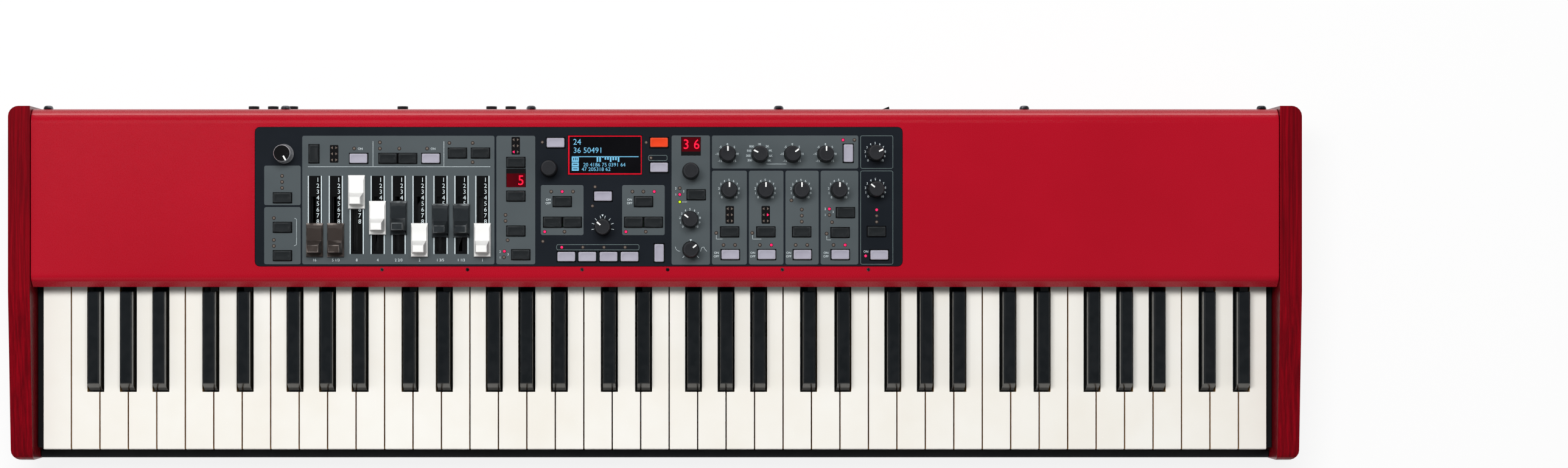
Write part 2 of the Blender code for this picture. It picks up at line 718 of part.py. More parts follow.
def button_size(name):
    if name in [button[0] for button in STANDING_BUTTONS]:
        return (BUTTON_BREADTH / 2, BUTTON_LENGTH / 2)
    return (BUTTON_LENGTH / 2, BUTTON_BREADTH / 2)


def button_openings():
    """The fascia's rectangular holes, where two buttons side by side share one."""
    openings = []
    for name, dx, dy in LYING_BUTTONS + STANDING_BUTTONS:
        half_x, half_y = button_size(name)
        edges = [dx - half_x - GAP, dx + half_x + GAP, dy - half_y - GAP, dy + half_y + GAP]
        joined = False
        for other in openings:
            level = abs(other[2] - edges[2]) < 0.001 and abs(other[3] - edges[3]) < 0.001
            if level and edges[0] - other[1] < 0.5 and other[0] < edges[0]:
                other[1] = edges[1]
                joined = True
        if not joined:
            openings.append(edges)
    return openings


def build_fascia(charcoal):
    """The flush plate, its flange under the cover, and a hole for every control."""
    plate = bmesh.new()
    half_x = FASCIA_WIDTH / 2 - GAP
    half_y = FASCIA_DEPTH / 2 - GAP
    outline = rounded_rectangle(FASCIA_X, FASCIA_Y, half_x, half_y, FASCIA_RADIUS - GAP)
    middle = FASCIA_Y + (FLANGE_REAR - FLANGE) / 2
    reach = half_y + (FLANGE_REAR + FLANGE) / 2
    flange = rounded_rectangle(FASCIA_X, middle, half_x + FLANGE, reach, FASCIA_RADIUS)
    sections = [[(x, y, FASCIA_BOTTOM) for x, y in flange], [(x, y, FLANGE_TOP) for x, y in flange]]
    sections += [[(x, y, FLANGE_TOP) for x, y in outline], [(x, y, PANEL_TOP) for x, y in outline]]
    loft(plate, sections)
    fascia = finish("control_fascia", plate, charcoal)
    holes = bmesh.new()
    depth = (FASCIA_BOTTOM - CUT, PANEL_TOP + CUT)
    for name, dx, dy, pointer in KNOBS:
        x, y = on_fascia(dx, dy)
        prism(holes, circle(x, y, SHAFT_HOLE_RADIUS, POT_SEGMENTS), *depth)
    for left, right, front, rear in button_openings():
        box(holes, (FASCIA_X + left, FASCIA_X + right), (FASCIA_Y + front, FASCIA_Y + rear), depth)
    for dx, dy, width, breadth in (WINDOW, *SMALL_DISPLAYS):
        x, y = on_fascia(dx, dy)
        box(holes, (x - width / 2, x + width / 2), (y - breadth / 2, y + breadth / 2), depth)
    for index in range(len(DRAWBAR_POSITIONS)):
        x, y = on_fascia(DRAWBAR_FIRST_X + index * DRAWBAR_PITCH + SLOT_OFFSET, SLOT_FRONT)
        slot_length = DRAWBAR_TRAVEL + STEM_LENGTH + 2 * GAP
        box(holes, (x - SLOT_WIDTH / 2, x + SLOT_WIDTH / 2), (y, y + slot_length), depth)
    combine(fascia, tool("control holes", holes, charcoal), "DIFFERENCE")


def button_sections(x, y, half_x, half_y, low):
    """A button's block from its lowest level up to its bevelled top."""
    edge = BUTTON_EDGE
    return [
        rectangle(x, y, half_x, half_y, low),
        rectangle(x, y, half_x, half_y, BUTTON_SHOULDER),
        rectangle(x, y, half_x - edge, half_y - edge, BUTTON_TOP),
    ]


def build_board(green):
    """The panel board with its pots, switches, two small displays and the buttons it carries."""
    half_x = FASCIA_WIDTH / 2 - BOARD_MARGIN
    half_y = FASCIA_DEPTH / 2 - BOARD_MARGIN
    corners = [(-half_x, -half_y), (NOTCH_LEFT, -half_y), (NOTCH_LEFT, NOTCH_REAR)]
    corners += [(NOTCH_RIGHT, NOTCH_REAR), (NOTCH_RIGHT, -half_y), (half_x, -half_y)]
    corners += [(half_x, half_y), (-half_x, half_y)]
    sheet = bmesh.new()
    prism(sheet, [on_fascia(dx, dy) for dx, dy in corners], BOARD_BOTTOM, BOARD_TOP)
    board = finish("panel_board", sheet, green)
    parts = bmesh.new()
    root = BOARD_TOP - BOARD_BITE
    for name, dx, dy in LYING_BUTTONS + STANDING_BUTTONS:
        x, y = on_fascia(dx, dy)
        half = STEM_SIZE / 2
        if name in JOINTED_BUTTONS:
            box(parts, (x - half, x + half), (y - half, y + half), (root, SWITCH_TOP))
        else:
            loft(parts, button_sections(x, y, *button_size(name), root))
    for dx, dy, width, breadth in SMALL_DISPLAYS:
        x, y = on_fascia(dx, dy)
        edges_x = (x - width / 2 + GAP, x + width / 2 - GAP)
        edges_y = (y - breadth / 2 + GAP, y + breadth / 2 - GAP)
        box(parts, edges_x, edges_y, (root, PANEL_TOP - 0.2))
    for name, dx, dy, pointer in KNOBS:
        pot = [(0, root), (POT_RADIUS, root), (POT_RADIUS, FASCIA_BOTTOM - GAP)]
        pot += [(SHAFT_HOLE_RADIUS, FASCIA_BOTTOM - GAP)]
        pot += [(SHAFT_HOLE_RADIUS, SHAFT_BOTTOM - GAP), (0, SHAFT_BOTTOM - GAP)]
        turned(parts, pot, (*on_fascia(dx, dy), 0.0), POT_SEGMENTS)
    combine(board, tool("board parts", parts, green), "UNION")


def build_buttons(grey):
    """The buttons that move, each with a flange that keeps it under the fascia."""
    for name, dx, dy in LYING_BUTTONS + STANDING_BUTTONS:
        if name not in JOINTED_BUTTONS:
            continue
        x, y = on_fascia(dx, dy)
        half_x, half_y = button_size(name)
        low = SWITCH_TOP + BUTTON_TRAVEL + GAP
        flange_top = FASCIA_BOTTOM - 0.8
        wide_x = half_x + (BUTTON_FLANGE if half_x < half_y else 0.0)
        wide_y = half_y + (BUTTON_FLANGE if half_x > half_y else 0.0)
        button = bmesh.new()
        sections = [
            rectangle(x, y, STEM_SIZE / 2, STEM_SIZE / 2, low),
            rectangle(x, y, STEM_SIZE / 2, STEM_SIZE / 2, flange_top - 1.2),
            rectangle(x, y, wide_x, wide_y, flange_top - 1.2),
            rectangle(x, y, wide_x, wide_y, flange_top),
        ]
        loft(button, sections + button_sections(x, y, half_x - 0.001, half_y - 0.001, flange_top))
        finish(f"button_{name}", button, grey, (x, y, PANEL_TOP))


def build_knobs(black):
    """Turned knobs with their shafts, each with a sunk pointer line."""
    for name, dx, dy, pointer in KNOBS:
        x, y = on_fascia(dx, dy)
        scale = MASTER_SCALE if name == "master_volume_knob" else 1.0
        low = PANEL_TOP + KNOB_LIFT
        top = low + KNOB_HEIGHT
        base = KNOB_BASE_RADIUS * scale
        crown = KNOB_TOP_RADIUS * scale
        profile = [(0, top), (crown - KNOB_EDGE, top), (crown, top - KNOB_EDGE), (base, low + 1.5)]
        profile += [(base, low), (SHAFT_RADIUS, low), (SHAFT_RADIUS, SHAFT_BOTTOM)]
        profile += [(0, SHAFT_BOTTOM)]
        knob = bmesh.new()
        turned(knob, profile, (x, y, 0.0), KNOB_SEGMENTS)
        body = finish(name, knob, black, (x, y, PANEL_TOP))
        if pointer is None:
            continue
        groove = bmesh.new()
        turn = math.radians(pointer)
        along = (math.sin(turn), math.cos(turn))
        across = (along[1], -along[0])
        outline = []
        for reach, side in ((crown * 0.35, -1), (crown * 0.35, 1), (base + 1.0, 1), (base + 1.0, -1)):
            half = side * POINTER_WIDTH / 2
            corner_x = x + along[0] * reach + across[0] * half
            corner_y = y + along[1] * reach + across[1] * half
            outline.append((corner_x, corner_y))
        prism(groove, outline, top - POINTER_DEPTH, top + CUT)
        combine(body, tool(f"{name} pointer", groove, black), "DIFFERENCE")


def build_drawbars(colours):
    """Drawbar caps with a low platform and a high ridge, on a stem with a slider foot."""
    for index, position in enumerate(DRAWBAR_POSITIONS):
        x, y = on_fascia(DRAWBAR_FIRST_X + index * DRAWBAR_PITCH, SLOT_FRONT)
        stem_x = x + SLOT_OFFSET
        stem_y = y + GAP + STEM_LENGTH / 2 + position
        front = stem_y - CAP_BEFORE_STEM
        base = PANEL_TOP
        bar = bmesh.new()
        sections = []
        ridge_front = CAP_STEP_LENGTH + CAP_EDGE
        ridge_rear = ridge_front + CAP_RIDGE_LENGTH
        rear_slope = CAP_CHAMFER_LENGTH * (CAP_STEP - CAP_RIM) / (CAP_PLATFORM - CAP_RIM)
        for height, reach_front, reach_rear, half in (
            (CAP_LIFT, 0.0, CAP_LENGTH, CAP_HALF_WIDTH),
            (CAP_RIM, 0.0, CAP_LENGTH, CAP_HALF_WIDTH),
            (CAP_STEP, CAP_EDGE, CAP_LENGTH - rear_slope, CAP_HALF_WIDTH - CAP_EDGE),
            (CAP_STEP, CAP_STEP_LENGTH, CAP_LENGTH - rear_slope - 0.1, CAP_HALF_WIDTH - CAP_EDGE - 0.1),
            (CAP_PLATFORM, CAP_STEP_LENGTH, CAP_LENGTH - CAP_CHAMFER_LENGTH, CAP_PLATFORM_HALF),
            (CAP_PLATFORM, CAP_STEP_LENGTH + 0.1, ridge_rear + CAP_RAMP_LENGTH, CAP_PLATFORM_HALF - 0.1),
            (CAP_RIDGE - CAP_EDGE, ridge_front, ridge_rear, CAP_RIDGE_HALF),
            (CAP_RIDGE, ridge_front + CAP_EDGE, ridge_rear - CAP_EDGE, CAP_RIDGE_HALF - CAP_EDGE),
        ):
            middle = front + (reach_front + reach_rear) / 2
            sections.append(rectangle(x, middle, half, (reach_rear - reach_front) / 2, base + height))
        loft(bar, sections)
        cap = finish(f"drawbar_{index + 1}", bar, colours[index], (stem_x, stem_y, PANEL_TOP))
        low = CARRIER_TOP + GAP
        foot_top = CARRIER_TOP + CHANNEL_HEIGHT - CHANNEL_WALL - GAP
        half = STEM_WIDTH / 2
        slider = bmesh.new()
        sections = [
            rectangle(stem_x, stem_y, FOOT_HALF_WIDTH, FOOT_LENGTH / 2, low),
            rectangle(stem_x, stem_y, FOOT_HALF_WIDTH, FOOT_LENGTH / 2, foot_top),
            rectangle(stem_x, stem_y, half, STEM_LENGTH / 2, foot_top),
            rectangle(stem_x, stem_y, half, STEM_LENGTH / 2, PANEL_TOP + CAP_LIFT + 1.0),
        ]
        loft(slider, sections)
        combine(cap, tool(f"drawbar {index + 1} slider", slider, colours[index]), "UNION")


def build_carrier(steel):
    """The drawbars' carrier: a plate with nine open channels, on posts under the fascia."""
    left = NOTCH_LEFT + 0.5
    right = NOTCH_RIGHT - 0.5
    front = SLOT_FRONT - 5.0
    rear = front + DRAWBAR_TRAVEL + 28.0
    plate = bmesh.new()
    corner_low = on_fascia(left, front)
    corner_high = on_fascia(right, rear)
    edges_x = (corner_low[0], corner_high[0])
    edges_y = (corner_low[1], corner_high[1])
    box(plate, edges_x, edges_y, (CARRIER_TOP - CARRIER_THICKNESS, CARRIER_TOP))
    carrier = finish("drawbar_carrier", plate, steel)
    parts = bmesh.new()
    inner = FOOT_HALF_WIDTH + GAP
    outer = inner + CHANNEL_WALL
    mouth = SLOT_WIDTH / 2
    low = CARRIER_TOP - BOARD_BITE
    high = CARRIER_TOP + CHANNEL_HEIGHT
    for index in range(len(DRAWBAR_POSITIONS)):
        x, y = on_fascia(DRAWBAR_FIRST_X + index * DRAWBAR_PITCH + SLOT_OFFSET, SLOT_FRONT)
        run = (y - 2.0, y + DRAWBAR_TRAVEL + STEM_LENGTH + 4.0)
        for side in (-1, 1):
            bracket = [(outer, low), (outer, high), (mouth, high), (mouth, high - CHANNEL_WALL)]
            bracket += [(inner, high - CHANNEL_WALL), (inner, low)]
            prism(parts, [(x + side * a, b) for a, b in bracket], *run, "Y")
    for x in (edges_x[0] + POST / 2, edges_x[1] - POST / 2):
        for y in (edges_y[0] + POST / 2, edges_y[1] - POST / 2):
            spread = (x - POST / 2, x + POST / 2)
            box(parts, spread, (y - POST / 2, y + POST / 2), (low, FASCIA_BOTTOM - GAP))
    combine(carrier, tool("carrier channels", parts, steel), "UNION")


def build_window(glass):
    dx, dy, width, breadth = WINDOW
    x, y = on_fascia(dx, dy)
    edges_x = (x - width / 2 + GAP, x + width / 2 - GAP)
    edges_y = (y - breadth / 2 + GAP, y + breadth / 2 - GAP)
    window = bmesh.new()
    box(window, edges_x, edges_y, (WINDOW_BOTTOM, PANEL_TOP - 0.2))
    finish("display_window", window, glass)


def build_sockets(black):
    """The connector board: jack, MIDI and USB sockets that reach through the rear wall."""
    left = min(JACKS_X) - 12.0
    right = max(JACKS_X) + 12.0
    rear = WALL_INSIDE - GAP
    board = bmesh.new()
    box(board, (left, right), (rear - IO_BOARD_DEPTH, rear), (IO_BOARD_TOP - BOARD_THICKNESS, IO_BOARD_TOP))
    sockets = finish("connector_board", board, black)
    parts = bmesh.new()
    low = IO_BOARD_TOP - BOARD_BITE
    for x in (left + 6.0, right - 6.0):
        for y in (rear - 6.0, rear - IO_BOARD_DEPTH + 6.0):
            prism(parts, circle(x, y, 3.0, 8), BASE_TOP + GAP, low)
    for x in JACKS_X:
        half = JACK_BODY_WIDTH / 2
        body = (rear - 24.0, rear)
        box(parts, (x - half, x + half), body, (low, SOCKET_Z + 7.0))
    box(parts, (MINI_JACK_X - 4.0, MINI_JACK_X + 4.0), (rear - 12.0, rear), (low, SOCKET_Z + 4.0))
    for x in MIDI_X:
        box(parts, (x - 9.5, x + 9.5), (rear - 14.0, rear), (low, SOCKET_Z + 9.5))
    usb = (USB_X - USB_WIDTH / 2, USB_X + USB_WIDTH / 2)
    box(parts, usb, (rear - 15.0, rear), (low, SOCKET_Z + USB_HEIGHT / 2))
    combine(sockets, tool("socket bodies", parts, black), "UNION")
    fronts = bmesh.new()
    for x in JACKS_X:
        prism(fronts, circle(x, SOCKET_Z, JACK_FERRULE_RADIUS, 12), rear - 4.0, REAR_WALL + STUB_PROUD, "Y")
    prism(fronts, circle(MINI_JACK_X, SOCKET_Z, MINI_JACK_RADIUS + 1.2, 10), rear - 2.0, REAR_WALL, "Y")
    for x in MIDI_X:
        prism(fronts, circle(x, SOCKET_Z, MIDI_RADIUS, 12), rear - 2.0, REAR_WALL, "Y")
    box(fronts, usb, (rear - 2.0, REAR_WALL), (SOCKET_Z - USB_HEIGHT / 2, SOCKET_Z + USB_HEIGHT / 2))
    combine(sockets, tool("socket fronts", fronts, black), "UNION")
    bores = bmesh.new()
    for x in JACKS_X:
        bore = (REAR_WALL - SOCKET_DEPTH - 6.0, REAR_WALL + STUB_PROUD + CUT)
        prism(bores, circle(x, SOCKET_Z, JACK_BORE_RADIUS, 12), *bore, "Y")
    mini = (REAR_WALL - SOCKET_DEPTH, REAR_WALL + CUT)
    prism(bores, circle(MINI_JACK_X, SOCKET_Z, 1.8, 8), *mini, "Y")
    for x in MIDI_X:
        prism(bores, circle(x, SOCKET_Z, MIDI_BORE_RADIUS, 12), REAR_WALL - 9.0, REAR_WALL + CUT, "Y")
    half = USB_WIDTH / 2 - USB_WALL
    tall = USB_HEIGHT / 2 - USB_WALL
    usb_depth = (REAR_WALL - 10.0, REAR_WALL + CUT)
    box(bores, (USB_X - half, USB_X + half), usb_depth, (SOCKET_Z - tall, SOCKET_Z + tall))
    combine(sockets, tool("socket bores", bores, black), "DIFFERENCE")


def build_inlet(black, grey):
    """The mains inlet with its pins, the switch's well, and the rocker on its trunnions."""
    body = bmesh.new()
    rear = REAR_WALL + GAP
    box(body, (INLET_LEFT, INLET_RIGHT), (WALL_INSIDE - INLET_DEPTH, rear + 0.5), (INLET_BOTTOM, INLET_TOP))
    inlet = finish("mains_inlet", body, black)
    bezel = bmesh.new()
    spread = (INLET_LEFT - BEZEL, INLET_RIGHT + BEZEL)
    box(bezel, spread, (rear, rear + BEZEL_PROUD), (INLET_BOTTOM - BEZEL, INLET_TOP + BEZEL))
    combine(inlet, tool("inlet bezel", bezel, black), "UNION")
    hollows = bmesh.new()
    tall = ROCKER_HEIGHT / 2 + 0.4
    well = (ROCKER_X - WELL_HALF_LENGTH, ROCKER_X + WELL_HALF_LENGTH)
    depth = (ROCKER_PIVOT_Y - ROCKER_KEEL - 3.0, rear + BEZEL_PROUD + CUT)
    box(hollows, well, depth, (ROCKER_Z - tall, ROCKER_Z + tall))
    mains = (MAINS_X - MAINS_WIDTH / 2, MAINS_X + MAINS_WIDTH / 2)
    mouth = (rear + BEZEL_PROUD - MAINS_DEPTH, rear + BEZEL_PROUD + CUT)
    box(hollows, mains, mouth, (ROCKER_Z - MAINS_HEIGHT / 2, ROCKER_Z + MAINS_HEIGHT / 2))
    combine(inlet, tool("inlet hollows", hollows, black), "DIFFERENCE")
    holes = bmesh.new()
    seat = circle(ROCKER_X, ROCKER_PIVOT_Y, TRUNNION_RADIUS + GAP, 10)
    prism(holes, seat, ROCKER_Z - ROCKER_HEIGHT / 2 - 1.6, ROCKER_Z + ROCKER_HEIGHT / 2 + 1.6)
    combine(inlet, tool("trunnion seats", holes, black), "DIFFERENCE")
    pins = bmesh.new()
    for offset, drop in ((-7.0, -2.0), (0.0, 2.0), (7.0, -2.0)):
        x = MAINS_X + offset
        z = ROCKER_Z + drop
        box(pins, (x - 1.0, x + 1.0), (mouth[0] - 1.0, mouth[0] + PIN_LENGTH), (z - 2.0, z + 2.0))
    combine(inlet, tool("inlet pins", pins, black), "UNION")
    rocker = bmesh.new()
    half = ROCKER_HALF_LENGTH
    face = [(-half, ROCKER_END), (-half, -1.0), (-5.0, -ROCKER_KEEL), (5.0, -ROCKER_KEEL)]
    face += [(half, -1.0), (half, ROCKER_END), (0.0, ROCKER_MIDDLE)]
    along, across = math.cos(ROCKER_TILT), math.sin(ROCKER_TILT)
    tilted = [(a * along - b * across, a * across + b * along) for a, b in face]
    outline = [(ROCKER_X + a, ROCKER_PIVOT_Y + b) for a, b in tilted]
    prism(rocker, outline, ROCKER_Z - ROCKER_HEIGHT / 2, ROCKER_Z + ROCKER_HEIGHT / 2)
    switch = finish("power_rocker", rocker, grey, (ROCKER_X, ROCKER_PIVOT_Y, ROCKER_Z))
    trunnion = bmesh.new()
    reach = ROCKER_HEIGHT / 2 + 1.2
    prism(trunnion, circle(ROCKER_X, ROCKER_PIVOT_Y, TRUNNION_RADIUS, 10), ROCKER_Z - reach, ROCKER_Z + reach)
    combine(switch, tool("rocker trunnions", trunnion, grey), "UNION")


def build_supply(green):
    """A small switched supply on its own board, on posts on the base."""
    board = bmesh.new()
    half_x = SUPPLY_WIDTH / 2
    half_y = SUPPLY_DEPTH / 2
    top = SUPPLY_BOARD_TOP
    spread_x = (SUPPLY_X - half_x, SUPPLY_X + half_x)
    spread_y = (SUPPLY_Y - half_y, SUPPLY_Y + half_y)
    box(board, spread_x, spread_y, (top - BOARD_THICKNESS, top))
    supply = finish("power_supply", board, green)
    parts = bmesh.new()
    low = top - BOARD_BITE
    for x in (spread_x[0] + 4.0, spread_x[1] - 4.0):
        for y in (spread_y[0] + 4.0, spread_y[1] - 4.0):
            prism(parts, circle(x, y, 3.0, 8), BASE_TOP + GAP, low)
    box(parts, (SUPPLY_X - 12.0, SUPPLY_X + 14.0), (SUPPLY_Y - 12.0, SUPPLY_Y + 12.0), (low, top + 22.0))
    for x, y, radius, height in SUPPLY_CANS:
        prism(parts, circle(SUPPLY_X + x, SUPPLY_Y + y, radius, 12), low, top + height)
    box(parts, (SUPPLY_X - 38.0, SUPPLY_X - 18.0), (SUPPLY_Y - 16.0, SUPPLY_Y - 13.0), (low, top + 18.0))
    combine(supply, tool("supply parts", parts, green), "UNION")


def main():
    for thing in list(bpy.data.objects):
        bpy.data.objects.remove(thing, do_unlink=True)
    red = material("red paint", (0.42, 0.006, 0.018), 0.3)
    lacquer = material("dark red lacquer", (0.13, 0.004, 0.007), 0.25)
    charcoal = material("charcoal print", (0.015, 0.017, 0.021), 0.55)
    steel = material("zinc steel", (0.35, 0.36, 0.37), 0.4, 0.9)
    black = material("black plastic", (0.012, 0.012, 0.013), 0.45)
    ivory = material("white key", (0.86, 0.84, 0.8), 0.3)
    ebony = material("black key", (0.012, 0.012, 0.012), 0.35)
    grey = material("grey button", (0.36, 0.36, 0.43), 0.5)
    green = material("circuit board", (0.02, 0.1, 0.04), 0.6)
    rubber = material("rubber", (0.02, 0.02, 0.02), 0.85)
    glass = material("display glass", (0.008, 0.01, 0.014), 0.15)
    brown = material("brown drawbar", (0.035, 0.022, 0.018), 0.45)
    white = material("white drawbar", (0.8, 0.8, 0.79), 0.4)
    build_cover(red)
    build_base(steel)
    build_cheeks(lacquer)
    build_slip(black)
    build_feet(rubber)
    build_keys(ivory, ebony, steel)
    build_fascia(charcoal)
    build_window(glass)
    build_board(green)
    build_buttons(grey)
    build_knobs(black)
    build_drawbars((brown, brown, white, white, black, white, black, black, white))
    build_carrier(steel)
    build_sockets(black)
    build_inlet(black, grey)
    build_supply(green)


main()
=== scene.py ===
"""A stage keyboard with drawbars: bevelled keys, printed control fascia, knobs, buttons and lamps."""

import math

import bmesh
import bpy
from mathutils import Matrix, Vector


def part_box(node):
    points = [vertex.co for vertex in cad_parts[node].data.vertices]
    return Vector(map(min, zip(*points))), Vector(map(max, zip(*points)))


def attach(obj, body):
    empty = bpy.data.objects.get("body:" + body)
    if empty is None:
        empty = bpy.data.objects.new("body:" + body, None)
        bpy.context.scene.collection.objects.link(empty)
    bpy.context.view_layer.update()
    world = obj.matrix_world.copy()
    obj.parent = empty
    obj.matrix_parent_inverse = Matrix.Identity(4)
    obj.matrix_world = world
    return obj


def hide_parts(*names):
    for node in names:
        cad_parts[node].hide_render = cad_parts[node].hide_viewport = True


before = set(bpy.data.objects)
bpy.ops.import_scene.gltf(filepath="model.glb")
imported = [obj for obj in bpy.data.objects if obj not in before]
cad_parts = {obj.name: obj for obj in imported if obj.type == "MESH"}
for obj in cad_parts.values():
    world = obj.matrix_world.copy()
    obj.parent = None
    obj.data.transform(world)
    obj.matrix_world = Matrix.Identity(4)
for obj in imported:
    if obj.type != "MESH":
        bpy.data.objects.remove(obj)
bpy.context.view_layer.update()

# ---- sizes, in millimetres
MM = 0.001
PANEL_TOP = 80.0
FASCIA_X = -62.5
FASCIA_Y = 69.75
REAR_WALL = 142.2
SUPPLY_BOARD_TOP = 15.3
SOCKET_BOARD_TOP = 16.3
PANEL_BOARD_TOP = 67.7
# The measured view: the pixel over the case's middle, and millimetres a pixel on the panel
VIEW_MIDDLE = (1076, 461)
VIEW_SCALE = 0.499

PITCH = 23.57
KEYS_LEFT = -506.755
WHITE_KEYS = 43
OCTAVE = 7 * PITCH
WHITE_TOP = 56.0
WHITE_FRONT = -138.9
KEY_BOTTOM = 36.0
NOTES = "c c_sharp_ d d_sharp_ e f f_sharp_ g g_sharp_ a a_sharp_ b".split()
OCTAVE_NODES = [f"key_{note}4" for note in NOTES]

BUTTON_TOP = PANEL_TOP + 3.5
BUTTON_LENGTH = 15.4
BUTTON_WIDTH = 8.6
KNOB_CROWN = 6.0
MASTER_SCALE = 8 / 7
DRAWBAR_PLACES = [FASCIA_X - 216.3 + index * 17.17 for index in range(9)]

# Knobs: place from the fascia's middle, pointer clockwise from the rear, and the dial printed round it
KNOBS = (
    ("master_volume_knob", -241.4, 35.05, 151, None),
    ("program_encoder_knob", -24.2, 23.05, None, None),
    ("part_mix_knob", 19.7, -24.85, -50, "ticks"),
    ("sample_encoder_knob", 91.8, 20.95, None, None),
    ("attack_knob", 91.2, -18.65, -52, "ten"),
    ("release_knob", 91.8, -43.35, 50, "release"),
    ("eq_bass_knob", 121.9, 34.85, 0, "decibels"),
    ("eq_frequency_knob", 148.4, 34.85, -63, "hertz"),
    ("eq_mid_gain_knob", 175.1, 34.85, 52, "decibels"),
    ("eq_treble_knob", 202.2, 34.85, 0, "decibels"),
    ("gain_level_knob", 243.0, 35.65, 65, "ten"),
    ("effect_1_knob", 123.2, 5.45, 0, "ten"),
    ("effect_2_knob", 152.9, 5.45, 0, "ten"),
    ("drive_knob", 182.2, 5.45, 0, "ten"),
    ("delay_knob", 213.1, 5.45, 0, "ten"),
    ("reverb_knob", 243.2, 6.05, -51, "ten"),
)
# Numbers printed round a knob, with their turn clockwise from the rear and their radius
DIALS = {
    "ten": [(str(n), (n - 5) * 27, 8.3) for n in range(11)],
    "decibels": [(str(n * 5), n * 44, 8.2) for n in range(-3, 4)],
    "hertz": [
        *(("200", -121, 9.6), ("300", -97, 9.4), ("500", -72, 9.2), ("800", -46, 9.2), ("1K", 0, 8.2)),
        *(("2K", 44, 9.0), ("4K", 71, 9.2), ("6K", 98, 9.2), ("8K", 123, 9.4)),
    ],
}
# Numbers and switch states printed beside lamps and buttons, at points of the measured view
SMALL_PRINT = [
    *(("2", 821.5, 413.2), ("1", 821.5, 423.1), ("3", 834.6, 418.0)),
    *(("2", 1110.2, 309.5), ("1", 1110.2, 319.7), ("3", 1123.2, 314.4)),
    *(("2", 1355.7, 343.3), ("1", 1355.7, 353.2), ("3", 1368.6, 348.3)),
    *(("ON", 591.8, 244.4), ("ON", 711.5, 244.4), ("ON", 1422.4, 413.3)),
]
for px, py in ((900.7, 328.0), (1034.3, 328.0), (1176.9, 415.4), (1236.6, 415.4), (1295.7, 415.4), (1357.0, 415.4)):
    SMALL_PRINT += [("ON", px, py), ("OFF", px, py + 5.8)]
FOOTAGES = ("16", "5 1/3", "8", "4", "2 2/3", "2", "1 3/5", "1 1/3", "1")

# Buttons that stand on the panel board: place from the fascia's middle, lying or standing, and colour
BUTTONS = (
    ("black", False, (-242.8, -0.95), (-242.8, -25.15), (-242.8, -48.35), (-156.3, 31.35), (-140.2, 31.35),
     (-99.4, 35.75), (-80.5, 35.75), (-51.5, 28.15), (-51.5, 0.45), (-51.5, -28.15), (-47.5, -47.55),
     (-13.5, -4.05), (-21.4, -20.95), (-5.3, -20.95), (53.1, -4.05), (45.1, -20.95), (61.2, -20.95),
     (96.3, 1.55), (123.7, -28.85), (153.4, -28.85), (182.7, -28.85), (218.6, -13.05), (214.2, -29.35),
     (244.0, -28.55)),
    ("black", True, (-217.0, 35.15)),
    ("grey", False, (-180.3, 31.35), (-121.1, 31.35), (-18.9, 44.15), (65.9, 23.95), (20.0, 0.35),
     (124.2, -47.45), (154.0, -47.45), (183.3, -47.45), (214.3, -47.45), (246.2, -47.75)),
    ("grey", True, (220.9, 35.55)),
    ("orange", False, (65.9, 44.35)),
)
MOVING_BUTTONS = (
    *[(f"button_program_{letter}", dx, -49.15, False) for letter, dx in zip("abcd", (-10.1, 7.1, 24.5, 41.7))],
    ("button_shift", 65.9, -46.15, True),
)
DRAWBAR_COLOURS = "brown brown white white dark white dark dark white".split()


# ---- mesh helpers
def rest():
    """Leaves edit mode and deselects everything."""
    if bpy.context.object and bpy.context.object.mode != "OBJECT":
        bpy.ops.object.mode_set(mode="OBJECT")
    bpy.ops.object.select_all(action="DESELECT")


def take(*pieces):
    """Selects only these pieces, the first of them active."""
    rest()
    for piece in pieces:
        piece.select_set(True)
    bpy.context.view_layer.objects.active = pieces[0]


def apply_place():
    """Moves the selected objects' place, turn and scale into their meshes."""
    bpy.ops.object.transform_apply()


def choose_all():
    """Selects everything in edit mode."""
    bpy.ops.mesh.select_all(action="SELECT")


def named(name):
    """Names the active object and its mesh."""
    piece = bpy.context.object
    piece.name = name
    piece.data.name = name
    return piece


def choose(piece, kind, test):
    """Opens a piece in edit mode with the faces, edges or corners that pass a test selected."""
    take(piece)
    bpy.ops.object.mode_set(mode="EDIT")
    bpy.ops.mesh.select_mode(type=kind)
    bpy.ops.mesh.select_all(action="DESELECT")
    mesh = bmesh.from_edit_mesh(piece.data)
    for part in {"VERT": mesh.verts, "EDGE": mesh.edges, "FACE": mesh.faces}[kind]:
        if test(part):
            part.select_set(True)
    bmesh.update_edit_mesh(piece.data)


def block(name, low, high):
    """A box between two corners."""
    rest()
    middle = [(a + b) / 2 * MM for a, b in zip(low, high)]
    bpy.ops.mesh.primitive_cube_add(size=MM, location=middle)
    bpy.context.object.scale = [b - a for a, b in zip(low, high)]
    apply_place()
    return named(name)


def upright(edge):
    """True for an edge that runs straight up."""
    a, b = (corner.co for corner in edge.verts)
    return abs(a.x - b.x) < 1e-6 and abs(a.y - b.y) < 1e-6


def modified(piece, kind, **settings):
    """A piece with a modifier applied."""
    take(piece)
    modifier = piece.modifiers.new(kind.lower(), kind)
    for key, value in settings.items():
        setattr(modifier, key, value)
    bpy.ops.object.modifier_apply(modifier=modifier.name)
    return piece


def soften(piece, width, segments=2, angle=35, smooth=35):
    """Rounds a piece's sharp edges and smooths what is left below the angle."""
    take(piece)
    if width:
        limit = {"limit_method": "ANGLE", "angle_limit": math.radians(angle)}
        modified(piece, "BEVEL", width=width * MM, segments=segments, miter_outer="MITER_ARC", **limit)
    bpy.ops.object.shade_smooth_by_angle(angle=math.radians(smooth))
    return modified(piece, "WEIGHTED_NORMAL", keep_sharp=True)


def round_chosen(width, segments=4):
    """Rounds the edges that are selected."""
    bpy.ops.mesh.bevel(offset=width * MM, segments=segments, affect="EDGES")
    rest()


